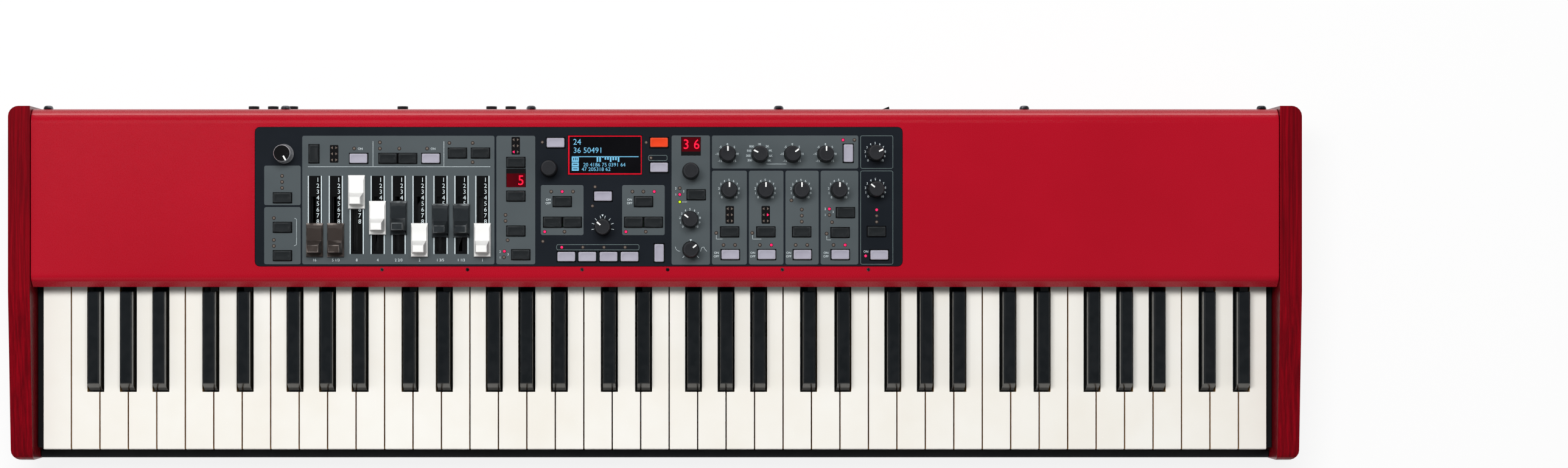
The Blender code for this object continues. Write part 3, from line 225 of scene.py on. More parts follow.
def plate(name, low, high, radius, segments=4):
    """A flat plate with rounded corners."""
    piece = block(name, low, high)
    choose(piece, "EDGE", upright)
    round_chosen(radius, segments)
    return piece


def prism(name, sides, radius, depth, **where):
    """A round or three-sided bar, its place and turn as Blender takes them."""
    rest()
    bpy.ops.mesh.primitive_cylinder_add(vertices=sides, radius=radius * MM, depth=depth * MM, **where)
    apply_place()
    return named(name)


def pull(x, y, z):
    """Extrudes what is selected by a step in millimetres."""
    bpy.ops.mesh.extrude_region_move(TRANSFORM_OT_translate={"value": (x * MM, y * MM, z * MM)})


def line_of_points(name, points):
    """A chain of edges through points, extruded corner by corner."""
    rest()
    bpy.ops.mesh.primitive_plane_add(size=MM, location=[c * MM for c in points[0]])
    apply_place()
    piece = named(name)
    bpy.ops.object.mode_set(mode="EDIT")
    bpy.ops.mesh.select_mode(type="VERT")
    choose_all()
    bpy.ops.mesh.merge(type="CENTER")
    for a, b in zip(points, points[1:]):
        pull(*(q - p for p, q in zip(a, b)))
    return piece


def turned(name, profile, sides=48):
    """A profile of (radius, height) spun round the upright axis, closed at its poles."""
    piece = line_of_points(name, [(r, 0.0, z) for r, z in profile])
    choose_all()
    bpy.ops.mesh.spin(steps=sides, angle=math.tau, center=(0, 0, 0), axis=(0, 0, 1))
    choose_all()
    bpy.ops.mesh.remove_doubles(threshold=1e-6)
    bpy.ops.mesh.normals_make_consistent(inside=False)
    rest()
    return piece


def bent_sheet(name, path, left, right, thickness):
    """A sheet bent along a path of (y, z), from left to right."""
    piece = line_of_points(name, [(left, y, z) for y, z in path])
    choose_all()
    pull(right - left, 0, 0)
    choose_all()
    bpy.ops.mesh.normals_make_consistent(inside=False)
    return modified(piece, "SOLIDIFY", thickness=thickness * MM, offset=0, use_even_offset=True)


def stamp(template, x=0.0, y=0.0, z=0.0, turn=0.0, scale=(1, 1, 1)):
    """A copy of a template with its own mesh, set down at a place. The turn is clockwise in degrees."""
    piece = bpy.data.objects.new(template.name, template.data.copy())
    bpy.context.collection.objects.link(piece)
    piece.location = (x * MM, y * MM, z * MM)
    piece.rotation_euler = (0, 0, -math.radians(turn))
    piece.scale = scale
    return piece


def joined(name, pieces):
    """Makes one piece of several, with its place in its mesh."""
    take(*pieces)
    apply_place()
    if len(pieces) > 1:
        bpy.ops.object.join()
    return named(name)


def discard(*pieces):
    """Deletes templates and tools that are no longer needed."""
    take(*pieces)
    bpy.ops.object.delete()


def combine(piece, cutter, operation):
    """Cuts or joins one piece with another, which is used up."""
    modified(piece, "BOOLEAN", operation=operation, solver="EXACT", object=cutter)
    discard(cutter)
    return piece


def tidied(node, name, flat=True):
    """A copy of a CAD node with its corners merged and, where flat is true, its flat faces joined."""
    piece = bpy.data.objects.new(name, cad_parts[node].data.copy())
    bpy.context.collection.objects.link(piece)
    take(piece)
    bpy.ops.mesh.customdata_custom_splitnormals_clear()
    bpy.ops.object.mode_set(mode="EDIT")
    choose_all()
    bpy.ops.mesh.remove_doubles(threshold=2e-6)
    if flat:
        bpy.ops.mesh.dissolve_limited(angle_limit=math.radians(0.5))
    rest()
    piece.data.materials.clear()
    return piece


def refined(node, name, edge, segments=2, angle=35, smooth=35):
    """A tidied copy of a CAD node with its edges rounded."""
    return soften(tidied(node, name), edge, segments, angle, smooth)


def eased(piece, width, least=4, most=24):
    """Splits the gentle folds of a bend, so that it reads as a curve."""
    least, most = math.radians(least), math.radians(most)
    choose(piece, "EDGE", lambda edge: len(edge.link_faces) == 2 and least < edge.calc_face_angle() < most)
    bpy.ops.mesh.bevel(offset=width * MM, segments=2, affect="EDGES", clamp_overlap=True)
    rest()
    return piece


def recolour(piece, index, test):
    """Gives the faces whose middle and normal pass a test another of the piece's materials."""
    choose(piece, "FACE", lambda face: test(face.calc_center_median() / MM, face.normal))
    piece.active_material_index = index
    bpy.ops.object.material_slot_assign()
    rest()


def spot(px, py):
    """The place on the panel, in millimetres, of a point measured in the 2576-pixel view."""
    return (px - VIEW_MIDDLE[0]) * VIEW_SCALE, (VIEW_MIDDLE[1] - py) * VIEW_SCALE + 1.0


def on_fascia(dx, dy):
    """The place of a point given from the fascia's middle."""
    return FASCIA_X + dx, FASCIA_Y + dy


# ---- shader groups
def shader_group(name, inputs, outputs):
    """A node group with named numbers in and out, and its object coordinates."""
    group = bpy.data.node_groups.new(name, "ShaderNodeTree")
    for title, value in inputs:
        socket = group.interface.new_socket(title, in_out="INPUT", socket_type="NodeSocketFloat")
        socket.default_value = value
    for title in outputs:
        group.interface.new_socket(title, in_out="OUTPUT", socket_type="NodeSocketFloat")
    entry = group.nodes.new("NodeGroupInput")
    result = group.nodes.new("NodeGroupOutput")
    place = group.nodes.new("ShaderNodeTexCoord")
    return group, entry, result, place.outputs["Object"]


def add(tree, kind, settings=(), links=()):
    """A shader node with its settings, linked from the sockets it reads."""
    node = tree.nodes.new(f"ShaderNode{kind}")
    for key, value in dict(settings).items():
        if isinstance(key, int) or key in node.inputs:
            node.inputs[key].default_value = value
        else:
            setattr(node, key, value)
    for key, source in dict(links).items():
        tree.links.new(source, node.inputs[key])
    return node


def noise(tree, place, scale, detail, roughness=0.5):
    """A noise value over a place, its scale read from a socket."""
    settings = {"Detail": detail, "Roughness": roughness}
    return add(tree, "TexNoise", settings, {"Vector": place, "Scale": scale}).outputs[0]


def build_mottle():
    """Slow clouds and fine grain over any moulded, painted or printed surface."""
    inputs = (("Cloud scale", 30.0), ("Grain scale", 900.0))
    group, entry, result, place = shader_group("mottle", inputs, ("Cloud", "Grain"))
    cloud = noise(group, place, entry.outputs["Cloud scale"], 3.0, 0.6)
    grain = noise(group, place, entry.outputs["Grain scale"], 2.0, 0.7)
    group.links.new(cloud, result.inputs["Cloud"])
    group.links.new(grain, result.inputs["Grain"])
    return group


def build_edge_wear():
    """A mask on rounded edges, broken up where fingers rub them unevenly."""
    inputs = (("Start", 0.52), ("End", 0.6), ("Patch scale", 120.0))
    group, entry, result, place = shader_group("edge wear", inputs, ("Worn",))
    shape = add(group, "NewGeometry")
    ends = {0: shape.outputs["Pointiness"], 1: entry.outputs["Start"], 2: entry.outputs["End"]}
    edge = add(group, "MapRange", {}, ends)
    broken = ranged(group, noise(group, place, entry.outputs["Patch scale"], 4.0), 0.0, 1.0, 0.42, 0.6)
    worn = add(group, "Math", {"operation": "MULTIPLY"}, {0: edge.outputs[0], 1: broken})
    group.links.new(worn.outputs[0], result.inputs["Worn"])
    return group


def build_wood_grain():
    """Long streaks and growth bands that run from the front of a cheek to its rear."""
    inputs = (("Streak scale", 1.0), ("Band scale", 1.0))
    group, entry, result, place = shader_group("wood grain", inputs, ("Streaks", "Bands", "Pores"))
    stretched = add(group, "Mapping", {"Scale": (420.0, 9.0, 420.0)}, {"Vector": place})
    streaks = noise(group, stretched.outputs[0], entry.outputs["Streak scale"], 5.0, 0.65)
    lean = {"Rotation": (0.0, 0.5, 0.0), "Scale": (110.0, 9.0, 110.0)}
    leaning = add(group, "Mapping", lean, {"Vector": place})
    wave = {"Distortion": 9.0, "Detail": 4.0, "Detail Scale": 1.6}
    links = {"Vector": leaning.outputs[0], "Scale": entry.outputs["Band scale"]}
    bands = add(group, "TexWave", wave, links)
    fine = add(group, "Mapping", {"Scale": (2400.0, 90.0, 2400.0)}, {"Vector": place})
    pores = add(group, "TexNoise", {"Detail": 2.0, "Scale": 1.0}, {"Vector": fine.outputs[0]})
    group.links.new(streaks, result.inputs["Streaks"])
    group.links.new(bands.outputs["Fac"], result.inputs["Bands"])
    group.links.new(pores.outputs[0], result.inputs["Pores"])
    return group


# ---- materials
def tint(screen_colour):
    """An eye-matched screen colour, 0 to 255, as the shader's linear colour."""
    shares = [value / 255 for value in screen_colour]
    return (*[s / 12.92 if s <= 0.04045 else ((s + 0.055) / 1.055) ** 2.4 for s in shares], 1.0)


def mixed(tree, mask, first, second):
    """A colour that goes from first to second where the mask is 1, each a screen colour or a socket."""
    mix = add(tree, "Mix", {"data_type": "RGBA"}, {0: mask})
    for socket, colour in ((mix.inputs[6], first), (mix.inputs[7], second)):
        if isinstance(colour, tuple):
            socket.default_value = tint(colour)
        else:
            tree.links.new(colour, socket)
    return mix.outputs[2]


def ranged(tree, value, low, high, start=0.3, end=0.7):
    """A noise value stretched to between low and high."""
    node = add(tree, "MapRange", {1: start, 2: end, 3: low, 4: high}, {0: value})
    return node.outputs[0]


def blank(name, shader_values):
    """A material with its Principled shader and the shader's plain values set."""
    material = bpy.data.materials.new(name)
    material.use_nodes = True
    tree = material.node_tree
    shader = tree.nodes["Principled BSDF"]
    for key, value in shader_values.items():
        shader.inputs[key].default_value = value
    return material, tree, shader


def roughened(tree, shader, grain, rough, bump, depth):
    """Lets the grain vary a shader's roughness and lift its surface."""
    tree.links.new(ranged(tree, grain, *rough), shader.inputs["Roughness"])
    relief = add(tree, "Bump", {"Strength": bump, "Distance": depth * MM}, {"Height": grain})
    tree.links.new(relief.outputs[0], shader.inputs["Normal"])


def mottled(tree, first, second, cloud=30.0, grain=900.0):
    """Two close colours in slow clouds, and the fine grain that goes with them."""
    mottle = add(tree, "Group", {"node_tree": MOTTLE})
    mottle.inputs["Cloud scale"].default_value = cloud
    mottle.inputs["Grain scale"].default_value = grain
    share = ranged(tree, mottle.outputs["Cloud"], 0.0, 1.0)
    return mixed(tree, share, first, second), mottle.outputs["Grain"]


def surface(
    name, colour, shade, rough, cloud=30.0, grain=900.0, bump=0.15, depth=0.05, wear=None, gloss=0.25, **values
):
    """A finish of two close colours in slow clouds, with fine grain and optional worn edges."""
    material, tree, shader = blank(name, {"Specular IOR Level": gloss, **values})
    tone, fine = mottled(tree, colour, shade, cloud, grain)
    if wear:
        rubbed = add(tree, "Group", {"node_tree": EDGE_WEAR})
        tone = mixed(tree, rubbed.outputs["Worn"], tone, wear)
    tree.links.new(tone, shader.inputs["Base Color"])
    roughened(tree, shader, fine, rough, bump, depth)
    return material


def lacquered_wood():
    """Red-stained cheeks whose grain shows through a glossy lacquer."""
    values = {"Coat Weight": 0.25, "Coat Roughness": 0.06, "Specular IOR Level": 0.1}
    material, tree, shader = blank("lacquered_wood", values)
    grain = add(tree, "Group", {"node_tree": WOOD_GRAIN})
    streaks = ranged(tree, grain.outputs["Streaks"], 0.0, 1.0, 0.35, 0.65)
    bands = ranged(tree, grain.outputs["Bands"], 0.0, 0.4, 0.3, 0.9)
    body = mixed(tree, streaks, (136, 1, 18), (98, 0, 11))
    figured = mixed(tree, bands, body, (80, 0, 9))
    tree.links.new(figured, shader.inputs["Base Color"])
    roughened(tree, shader, grain.outputs["Pores"], (0.22, 0.4), 0.12, 0.04)
    return material


def circuit_green():
    """Solder mask over a faint net of copper tracks."""
    material, tree, shader = blank("circuit_green", {"Coat Weight": 0.4, "IOR": 1.5})
    place = add(tree, "TexCoord")
    net = {"Scale": 90.0, "Mortar Size": 0.06, "Brick Width": 0.9, "Row Height": 0.3}
    tracks = add(tree, "TexBrick", net, {"Vector": place.outputs["Object"]})
    mask, grain = mottled(tree, (16, 74, 44), (10, 58, 36))
    board = mixed(tree, tracks.outputs["Fac"], mask, (44, 110, 62))
    tree.links.new(board, shader.inputs["Base Color"])
    roughened(tree, shader, grain, (0.35, 0.5), 0.1, 0.03)
    return material


def glowing(name, colour, dim, strength):
    """A lens or pixel lit from behind, a little brighter in places."""
    material, tree, shader = blank(name, {"Emission Strength": strength, "IOR": 1.5})
    glow, grain = mottled(tree, colour, dim, 700.0)
    tree.links.new(glow, shader.inputs["Emission Color"])
    tree.links.new(glow, shader.inputs["Base Color"])
    roughened(tree, shader, grain, (0.25, 0.4), 0.05, 0.02)
    return material


MOTTLE = build_mottle()
EDGE_WEAR = build_edge_wear()
WOOD_GRAIN = build_wood_grain()
FAINT = 0.12
PRINT = ((0.34, 0.42), 12.0, 2200.0, 0.2)
GLASS = (60.0, 900.0, 0.02)
COATED = {"Coat Weight": 0.2, "Coat Roughness": 0.1}

# Name, two close colours, roughness range, cloud scale, grain scale, bump and depth of the relief
FINISHES = {
    "red": surface("red_paint", (171, 6, 32), (165, 5, 29), (0.24, 0.32), 9.0, 1400.0, 0.1, 0.02, gloss=0.4),
    "wood": lacquered_wood(),
    "fascia": surface("charcoal_print", (29, 33, 39), (24, 28, 33), *PRINT, gloss=FAINT),
    "field": surface("grey_print", (82, 89, 92), (76, 83, 86), *PRINT, gloss=FAINT),
    "outline": surface("outline_print", (104, 118, 118), (96, 110, 110), (0.4, 0.5), 40.0, gloss=FAINT),
    "ink": surface("white_ink", (214, 224, 227), (200, 212, 216), (0.4, 0.5), 60.0, gloss=FAINT),
    "track": surface("track_print", (17, 18, 19), (13, 13, 14), (0.34, 0.42), 20.0, 2200.0, 0.2, gloss=FAINT),
    "white key": surface(
        "white_key", (243, 241, 235), (238, 234, 225), (0.16, 0.28), 14.0, 500.0, 0.03, gloss=0.4, **COATED
    ),
    "black key": surface(
        "black_key", (14, 18, 21), (19, 23, 26), (0.16, 0.24), 40.0, 1500.0, 0.06, wear=(34, 36, 38), gloss=0.5
    ),
    "steel": surface("zinc_steel", (176, 178, 182), (160, 163, 168), (0.3, 0.48), 60.0, 700.0, 0.1, Metallic=1.0),
    "dark metal": surface(
        "blackened_screw", (70, 70, 74), (48, 48, 52), (0.3, 0.45), 200.0, wear=(150, 150, 155), Metallic=1.0
    ),
    # Painted reflection: a near-white base on a part-metallic finish makes the ring read bright where a polished metal
    # ring would mirror the dark surroundings.
    "metal ring sheen": surface("bright_ring", (220, 222, 226), (205, 207, 212), (0.1, 0.2), 80.0, Metallic=0.35),
    "black plastic": surface("black_plastic", (26, 27, 29), (21, 22, 24), (0.42, 0.58), 30.0, 1800.0, 0.3),
    "knob": surface("knob_rubber", (43, 44, 47), (36, 37, 40), (0.5, 0.65), 60.0, 2600.0, 0.3, wear=(70, 71, 74)),
    "gloss black": surface("gloss_black", (14, 14, 16), (11, 11, 13), (0.12, 0.2), 60.0, 900.0, 0.03, gloss=0.5),
    "pointer": surface("pointer_white", (242, 243, 242), (230, 231, 230), (0.4, 0.5), 60.0),
    "black": surface("black_button", (36, 39, 41), (30, 33, 35), (0.3, 0.42), 60.0, 1800.0, wear=(82, 86, 88)),
    "grey": surface("grey_button", (168, 166, 179), (158, 155, 169), (0.35, 0.48), 60.0, 1800.0, wear=(200, 199, 208)),
    "orange": surface("orange_button", (230, 72, 34), (218, 62, 28), (0.35, 0.48), 60.0, 1800.0, wear=(248, 120, 84)),
    "brown": surface("brown_drawbar", (59, 52, 49), (52, 46, 43), (0.32, 0.46), 50.0, 1500.0, wear=(140, 131, 126)),
    "white": surface("white_drawbar", (240, 240, 238), (234, 234, 232), (0.3, 0.42), 50.0, 1500.0, 0.1),
    "dark": surface("dark_drawbar", (39, 43, 46), (33, 37, 40), (0.32, 0.46), 50.0, 1500.0, wear=(104, 108, 110)),
    "board": circuit_green(),
    "rubber": surface("foot_rubber", (30, 30, 31), (24, 24, 25), (0.7, 0.85), 60.0, 1200.0, 0.4),
    "felt": surface("felt", (120, 84, 58), (104, 72, 48), (0.85, 0.95), 200.0, 2500.0, 0.6),
    "red window": surface("red_window", (84, 0, 10), (66, 0, 8), (0.08, 0.14), *GLASS),
    "screen": surface("screen_black", (10, 10, 14), (6, 6, 9), (0.1, 0.16), *GLASS),
    "screen red": surface("screen_border", (206, 20, 42), (197, 17, 38), (0.1, 0.16), *GLASS),
    # Painted shade: the tan on the white keys' flanks stands in for the warm, dim light in the gaps between them.
    "key side": surface("key_side", (206, 164, 100), (184, 142, 84), (0.45, 0.6), 60.0, 1200.0, 0.2),
    "pixel": glowing("screen_pixel", (92, 150, 178), (82, 138, 166), 0.9),
    "digit": glowing("digit_red", (255, 24, 58), (240, 10, 40), 1.0),
    "lit": glowing("lamp_lit", (255, 34, 98), (255, 14, 70), 1.3),
    "green": glowing("lamp_green", (176, 214, 10), (160, 200, 4), 1.0),
    "unlit": surface("lamp_unlit", (118, 107, 99), (100, 90, 84), (0.2, 0.3), 900.0),
    "ring": surface("lamp_ring", (44, 37, 35), (36, 30, 29), (0.3, 0.4), 300.0),
    "supply": surface("capacitor_sleeve", (34, 38, 60), (26, 30, 50), (0.3, 0.4), 120.0),
}


def finish(piece, *keys):
    """Gives a piece the finishes of these names."""
    piece.data.materials.clear()
    for key in keys:
        piece.data.materials.append(FINISHES[key])
    return piece


def settle(piece, slot, *nodes, body="case"):
    """Rides a finished piece on its body, in the place of the nodes it stands for."""
    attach(piece, body)
    if nodes:
        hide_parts(*nodes)


# ---- case
def build_case():
    """The painted cover, lacquered cheeks, slip, pan, feet and what the case holds."""
    cover = soften(eased(tidied("top_cover", "painted_cover"), 0.45), 0.25)
    settle(finish(cover, "red"), "red_paint", "top_cover")
    for side in ("left", "right"):
        cheek = soften(eased(tidied(f"{side}_cheek", f"{side}_wooden_cheek"), 0.6), 1.2, 3)
        settle(finish(cheek, "wood"), "lacquered_wood", f"{side}_cheek")
    slip = refined("key_slip", "front_slip", 0.6, 3)
    settle(finish(slip, "black plastic"), "black_plastic", "key_slip")
    for node in ("front_left_foot", "front_right_foot", "rear_left_foot", "rear_right_foot"):
        settle(finish(refined(node, f"{node}_rubber", 0.8, 3), "rubber"), "rubber", node)
    finish(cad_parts["base_pan"], "steel")
    carrier = refined("drawbar_carrier", "drawbar_channels", 0.15)
    settle(finish(carrier, "steel"), "zinc_steel", "drawbar_carrier")
    supply = finish(refined("power_supply", "supply_board", 0.2), "board", "supply", "steel")
    recolour(supply, 1, lambda place, normal: place.z > SUPPLY_BOARD_TOP)
    settle(supply, "circuit_board", "power_supply")
    sockets = finish(refined("connector_board", "rear_sockets", 0.2), "board", "black plastic")
    recolour(sockets, 1, lambda place, normal: place.z > SOCKET_BOARD_TOP)
    settle(sockets, "circuit_board", "connector_board")
    inlet = finish(refined("mains_inlet", "inlet_housing", 0.3), "black plastic", "steel")
    settle(inlet, "black_plastic", "mains_inlet")
    rocker = finish(refined("power_rocker", "rocker_cap", 0.4, 3), "gloss black")
    settle(rocker, "black_plastic", "power_rocker", body="power_rocker")


# ---- keys
def colour_key(key):
    """White on a key's top and front, and a tan on its flanks that paints in the warm shade between the keys."""
    finish(key, "white key", "key side")
    # The flanks below the top get the tan of painted shade.
    recolour(key, 1, lambda place, normal: abs(normal.x) > 0.9 and place.z < WHITE_TOP - 0.6)


def build_keys():
    """Bevelled keys: the middle octave on its hinges, the others joined into two pieces."""
    sets = {"white": [], "black": []}
    for node in OCTAVE_NODES:
        kind = "black" if "sharp" in node else "white"
        key = refined(node, f"{kind}_{node}", 0.7 if kind == "black" else 0.45, 3, 40, 40)
        if kind == "white":
            colour_key(key)
        else:
            finish(key, "black key")
        sets[kind].append(key)
    copies = {"white": [], "black": []}
    for kind, keys in sets.items():
        for key in keys:
            corners = [corner.co.x / MM for corner in key.data.vertices]
            for octaves in (-3, -2, -1, 1, 2, 3):
                middle = sum(corners) / len(corners) + octaves * OCTAVE
                if KEYS_LEFT + PITCH < middle < KEYS_LEFT + WHITE_KEYS * PITCH - 6:
                    copies[kind].append(stamp(key, octaves * OCTAVE))
    low, high = (KEYS_LEFT + 0.5, WHITE_FRONT, KEY_BOTTOM), (KEYS_LEFT + PITCH - 0.5, 50.0, WHITE_TOP)
    lowest = block("lowest_key", low, high)
    choose(lowest, "EDGE", lambda edge: all(c.co.y < -0.1 and c.co.z > 0.05 for c in edge.verts))
    round_chosen(1.5)
    colour_key(soften(lowest, 0.45, 3, 40, 40))
    settle(joined("white_keys", [*copies["white"], lowest]), "white_key", "key_frame")
    settle(joined("black_keys", copies["black"]), "black_key", "key_frame")
    for kind, keys in sets.items():
        for key in keys:
            node = key.name.split("_", 1)[1]
            settle(key, f"{kind}_key", node, body=node)


def build_chassis():
    """The steel key bed with its pivot rail, contact strip and felt."""
    path = [(-133, 24), (-133, 9.3), (-60, 9.3), (-60, 18.5), (-20, 18.5), (-20, 9.3), (58.5, 9.3), (58.5, 45)]
    bed = bent_sheet("key_bed", path, -511.5, 511.5, 1.5)
    rail = prism("pivot_rail", 24, 2.0, 1023, location=(0, 59 * MM, 45 * MM), rotation=(0, math.pi / 2, 0))
    bed = soften(joined("key_bed", [bed, rail]), 0.3)
    settle(finish(bed, "steel"), "zinc_steel", "key_frame")
    walls = [block("end_rail", (left, -137.3, 9.3), (left + 4.6, 64.0, 52.0)) for left in (-511.6, 507.0)]
    ends = soften(joined("end_rails", walls), 0.5)
    settle(finish(ends, "black plastic"), "black_plastic", "key_frame")
    strip = soften(plate("contact_strip", (-506, -46, 19.3), (506, -34, 27), 2.0), 0.8)
    settle(finish(strip, "rubber"), "rubber", "key_frame")
    felts = [block("felt", (-506, front, 10.1), (506, front + 14, 12.6)) for front in (-132, 20)]
    settle(finish(soften(joined("key_felts", felts), 0.6), "felt"), "rubber", "key_frame")


# ---- buttons
def button_template(name, length, width):
    """A moulded cap with a racetrack dish in its top, on a black body that shows round its foot and paints in the dark
    gap and shadow round the cap.
    """
    low, foot = PANEL_TOP - 0.6, PANEL_TOP + 1.0
    cap = plate(name, (-length / 2, -width / 2, low), (length / 2, width / 2, foot), 1.4)
    choose(cap, "FACE", lambda face: face.normal.z > 0.9)
    bpy.ops.mesh.inset(thickness=0.45 * MM)
    pull(0, 0, BUTTON_TOP - foot)
    rest()
    rim = BUTTON_TOP - 0.02
    choose(cap, "EDGE", lambda edge: all(c.co.z > rim * MM for c in edge.verts))
    round_chosen(0.8)
    flat = min(length, width) / 2 - 1.0
    along = abs(length - width) / 2
    bpy.ops.mesh.primitive_uv_sphere_add(segments=32, ring_count=16, radius=MM)
    dish = named("dish")
    dish.rotation_euler = (0, math.pi / 2, 0)
    apply_place()
    for side in (1, -1):
        choose(dish, "VERT", lambda corner: corner.co.x * side > 1e-6)
        bpy.ops.transform.translate(value=(side * along / flat * MM, 0, 0))
        rest()
    take(dish)
    dish.scale = (flat, flat, 1.1)
    dish.rotation_euler = (0, 0, 0 if length > width else math.pi / 2)
    dish.location = (0, 0, (BUTTON_TOP + 0.55) * MM)
    apply_place()
    combine(cap, dish, "DIFFERENCE")
    finish(soften(cap, 0, smooth=32), "black", "black plastic")
    # The black band round the foot is partly the dark body under the cap and partly painted shade for the gap and
    # shadow round each button.
    recolour(cap, 1, lambda place, normal: place.z < foot + 0.05)
    return cap


def build_buttons():
    """Caps for the fixed buttons, joined by colour, and five that press."""
    lying = button_template("lying_button", BUTTON_LENGTH, BUTTON_WIDTH)
    standing = button_template("standing_button", BUTTON_WIDTH, BUTTON_LENGTH)
    for colour, slot in (("black", "black_plastic"), ("grey", "grey_button"), ("orange", "red_paint")):
        caps = []
        for tone, stands, *places in BUTTONS:
            if tone == colour:
                caps += [stamp(standing if stands else lying, *on_fascia(*place)) for place in places]
        caps = joined(f"{colour}_buttons", caps)
        caps.data.materials[0] = FINISHES[colour]
        settle(caps, slot, "panel_board")
    half = 1.6
    for node, dx, dy, stands in MOVING_BUTTONS:
        x, y = on_fascia(dx, dy)
        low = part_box(node)[0].z / MM
        stem = block("stem", (x - half, y - half, low), (x + half, y + half, PANEL_TOP - 0.3))
        cap = stamp(standing if stands else lying, x, y)
        cap = joined(f"{node}_cap", [cap, finish(stem, "black plastic")])
        cap.data.materials[0] = FINISHES["grey"]
        settle(cap, "grey_button", node, body=node)
    discard(lying, standing)


# ---- knobs
def knob_template(name, scale, low, pointer):
    """A knob spun from its profile, with a painted pointer from near its middle to its edge."""
    top = PANEL_TOP + 16.5
    base, crown = 7.0 * scale, KNOB_CROWN * scale
    profile = [(0.0, top - 0.3), (crown * 0.55, top - 0.24), (crown - 0.95, top), (crown - 0.35, top - 0.12)]
    profile += [(crown, top - 0.6), (crown + 0.1, top - 1.5), (base - 0.55, low + 4.2), (base - 0.35, low + 2.6)]
    profile += [(base, low + 1.4), (base, low + 0.3), (base - 0.3, low), (3.0, low), (3.0, 69.4), (0.0, 69.4)]
    knob = soften(turned(name, profile), 0, smooth=40)
    width = 0.58 * scale
    cuts = ((-width, 0, 1), (width, 0, 1), (0, crown * 0.35, 0)) if pointer else ()
    for x, y, across in cuts:
        choose(knob, "FACE", lambda face: True)
        bpy.ops.mesh.bisect(plane_co=(x * MM, y * MM, 0), plane_no=(across, 1 - across, 0))
    rest()
    return knob


def build_knobs():
    """Sixteen knobs, each on its own shaft."""
    low = PANEL_TOP + 0.8
    pointed = knob_template("pointed", 1.0, low, True)
    plain = knob_template("plain", 1.0, low, False)
    master = knob_template("master", MASTER_SCALE, low, True)
    for template in (pointed, plain):
        finish(template, "knob", "pointer", "black plastic")
        recolour(template, 2, lambda place, normal: place.z < low + 3.4)
    # The master knob's rim takes the painted sheen: a pale, part-metallic finish in place of a mirror finish.
    finish(master, "gloss black", "pointer", "metal ring sheen")
    rim = KNOB_CROWN * MASTER_SCALE - 0.3
    recolour(master, 2, lambda place, normal: place.xy.length > rim and place.z > low + 0.2)
    bottom = PANEL_TOP + 12
    for template, scale in ((pointed, 1.0), (master, MASTER_SCALE)):
        width, start = 0.58 * scale, KNOB_CROWN * scale * 0.35
        recolour(template, 1, lambda place, normal: abs(place.x) < width and place.y > start and place.z > bottom)
    for node, dx, dy, pointer, dial in KNOBS:
        template = master if node.startswith("master") else plain if pointer is None else pointed
        knob = joined(f"{node}_cap", [stamp(template, *on_fascia(dx, dy), turn=pointer or 0)])
        settle(knob, "black_plastic", node, body=node)
    discard(pointed, plain, master)


# ---- drawbars
def build_drawbars():
    """Nine drawbars with crisp ridges, each cut from its own CAD solid."""
    for index, colour in enumerate(DRAWBAR_COLOURS, 1):
        node = f"drawbar_{index}"
        cap = refined(node, f"{node}_cap", 0.35, 3, 25, 30)
        settle(finish(cap, colour), f"{colour}_drawbar", node, body=node)


# ---- fascia
# Printed patches, by their left, right, rear and front edges in the measured view
FIELDS = (
    (434.1, 494.1, 272.2, 337.0), (434.1, 494.1, 340.2, 434.2), (496.6, 812.3, 223.1, 434.2),
    (815.5, 879.3, 223.1, 434.2), (888.6, 958.6, 304.1, 386.3), (1022.1, 1092.0, 304.1, 386.3),
    (1103.3, 1166.4, 222.6, 434.9), (1169.6, 1410.0, 222.7, 277.0), (1169.6, 1227.0, 280.5, 434.6),
    (1230.4, 1287.1, 280.5, 434.6), (1290.4, 1344.9, 280.5, 434.6), (1348.2, 1410.0, 280.5, 434.6),
)
OUTLINES = (
    (1413.4, 1467.2, 222.7, 277.0), (1413.4, 1467.2, 280.5, 434.6),
    (914.1, 1050.3, 401.4, 411.0), (1065.0, 1096.4, 254.9, 264.1),
)


def field_block(name, edges, low, high, radius=1.5, inset=0):
    """A rounded block over a patch of the measured view, given by its edges there."""
    left, rear = spot(edges[0], edges[2])
    right, front = spot(edges[1], edges[3])
    corners = (left + inset, front + inset, low), (right - inset, rear - inset, high)
    return plate(name, *corners, radius)


def printed(name, shapes, lift, key):
    """Ink on the fascia's top: the shapes' area, with every hole of the fascia left open."""
    ink = tidied("control_fascia", name, flat=False)
    combine(ink, joined("ink_area", shapes), "INTERSECT")
    take(ink)
    bpy.ops.transform.translate(value=(0, 0, lift * MM))
    apply_place()
    settle(finish(ink, key), "charcoal_print")


def build_fascia():
    """The charcoal fascia and the grey fields, tracks and outlines printed on it."""
    fascia = soften(tidied("control_fascia", "fascia_plate", flat=False), 0.12, 1)
    settle(finish(fascia, "fascia"), "charcoal_print", "control_fascia")
    skin = (PANEL_TOP - 0.05, PANEL_TOP + 1)
    printed("grey_fields", [field_block("field", edges, *skin) for edges in FIELDS], 0.015, "field")
    rings = []
    for edges in OUTLINES:
        ring = field_block("ring", edges, *skin)
        rings.append(combine(ring, field_block("inner", edges, 70, 90, 1.1, 0.4), "DIFFERENCE"))
    outlines = joined("field_outlines", rings)
    shorten_to_skin(outlines, PANEL_TOP + 0.02)
    settle(finish(outlines, "outline"), "charcoal_print")
    tracks, edges = [], []
    _, rear = spot(0, 288.9)
    _, front = spot(0, 417.4)
    for x in DRAWBAR_PLACES:
        tracks.append(block("track", (x - 4.72, front, skin[0]), (x + 4.72, rear, skin[1])))
        for side in (-1, 1):
            inner, outer = sorted((x + side * 5.0, x + side * 5.75))
            edges.append(block("edge", (inner, front, skin[0]), (outer, rear, skin[1])))
    printed("drawbar_tracks", tracks, 0.025, "track")
    ink = joined("track_edges", edges)
    shorten_to_skin(ink)
    settle(finish(ink, "ink"), "charcoal_print")


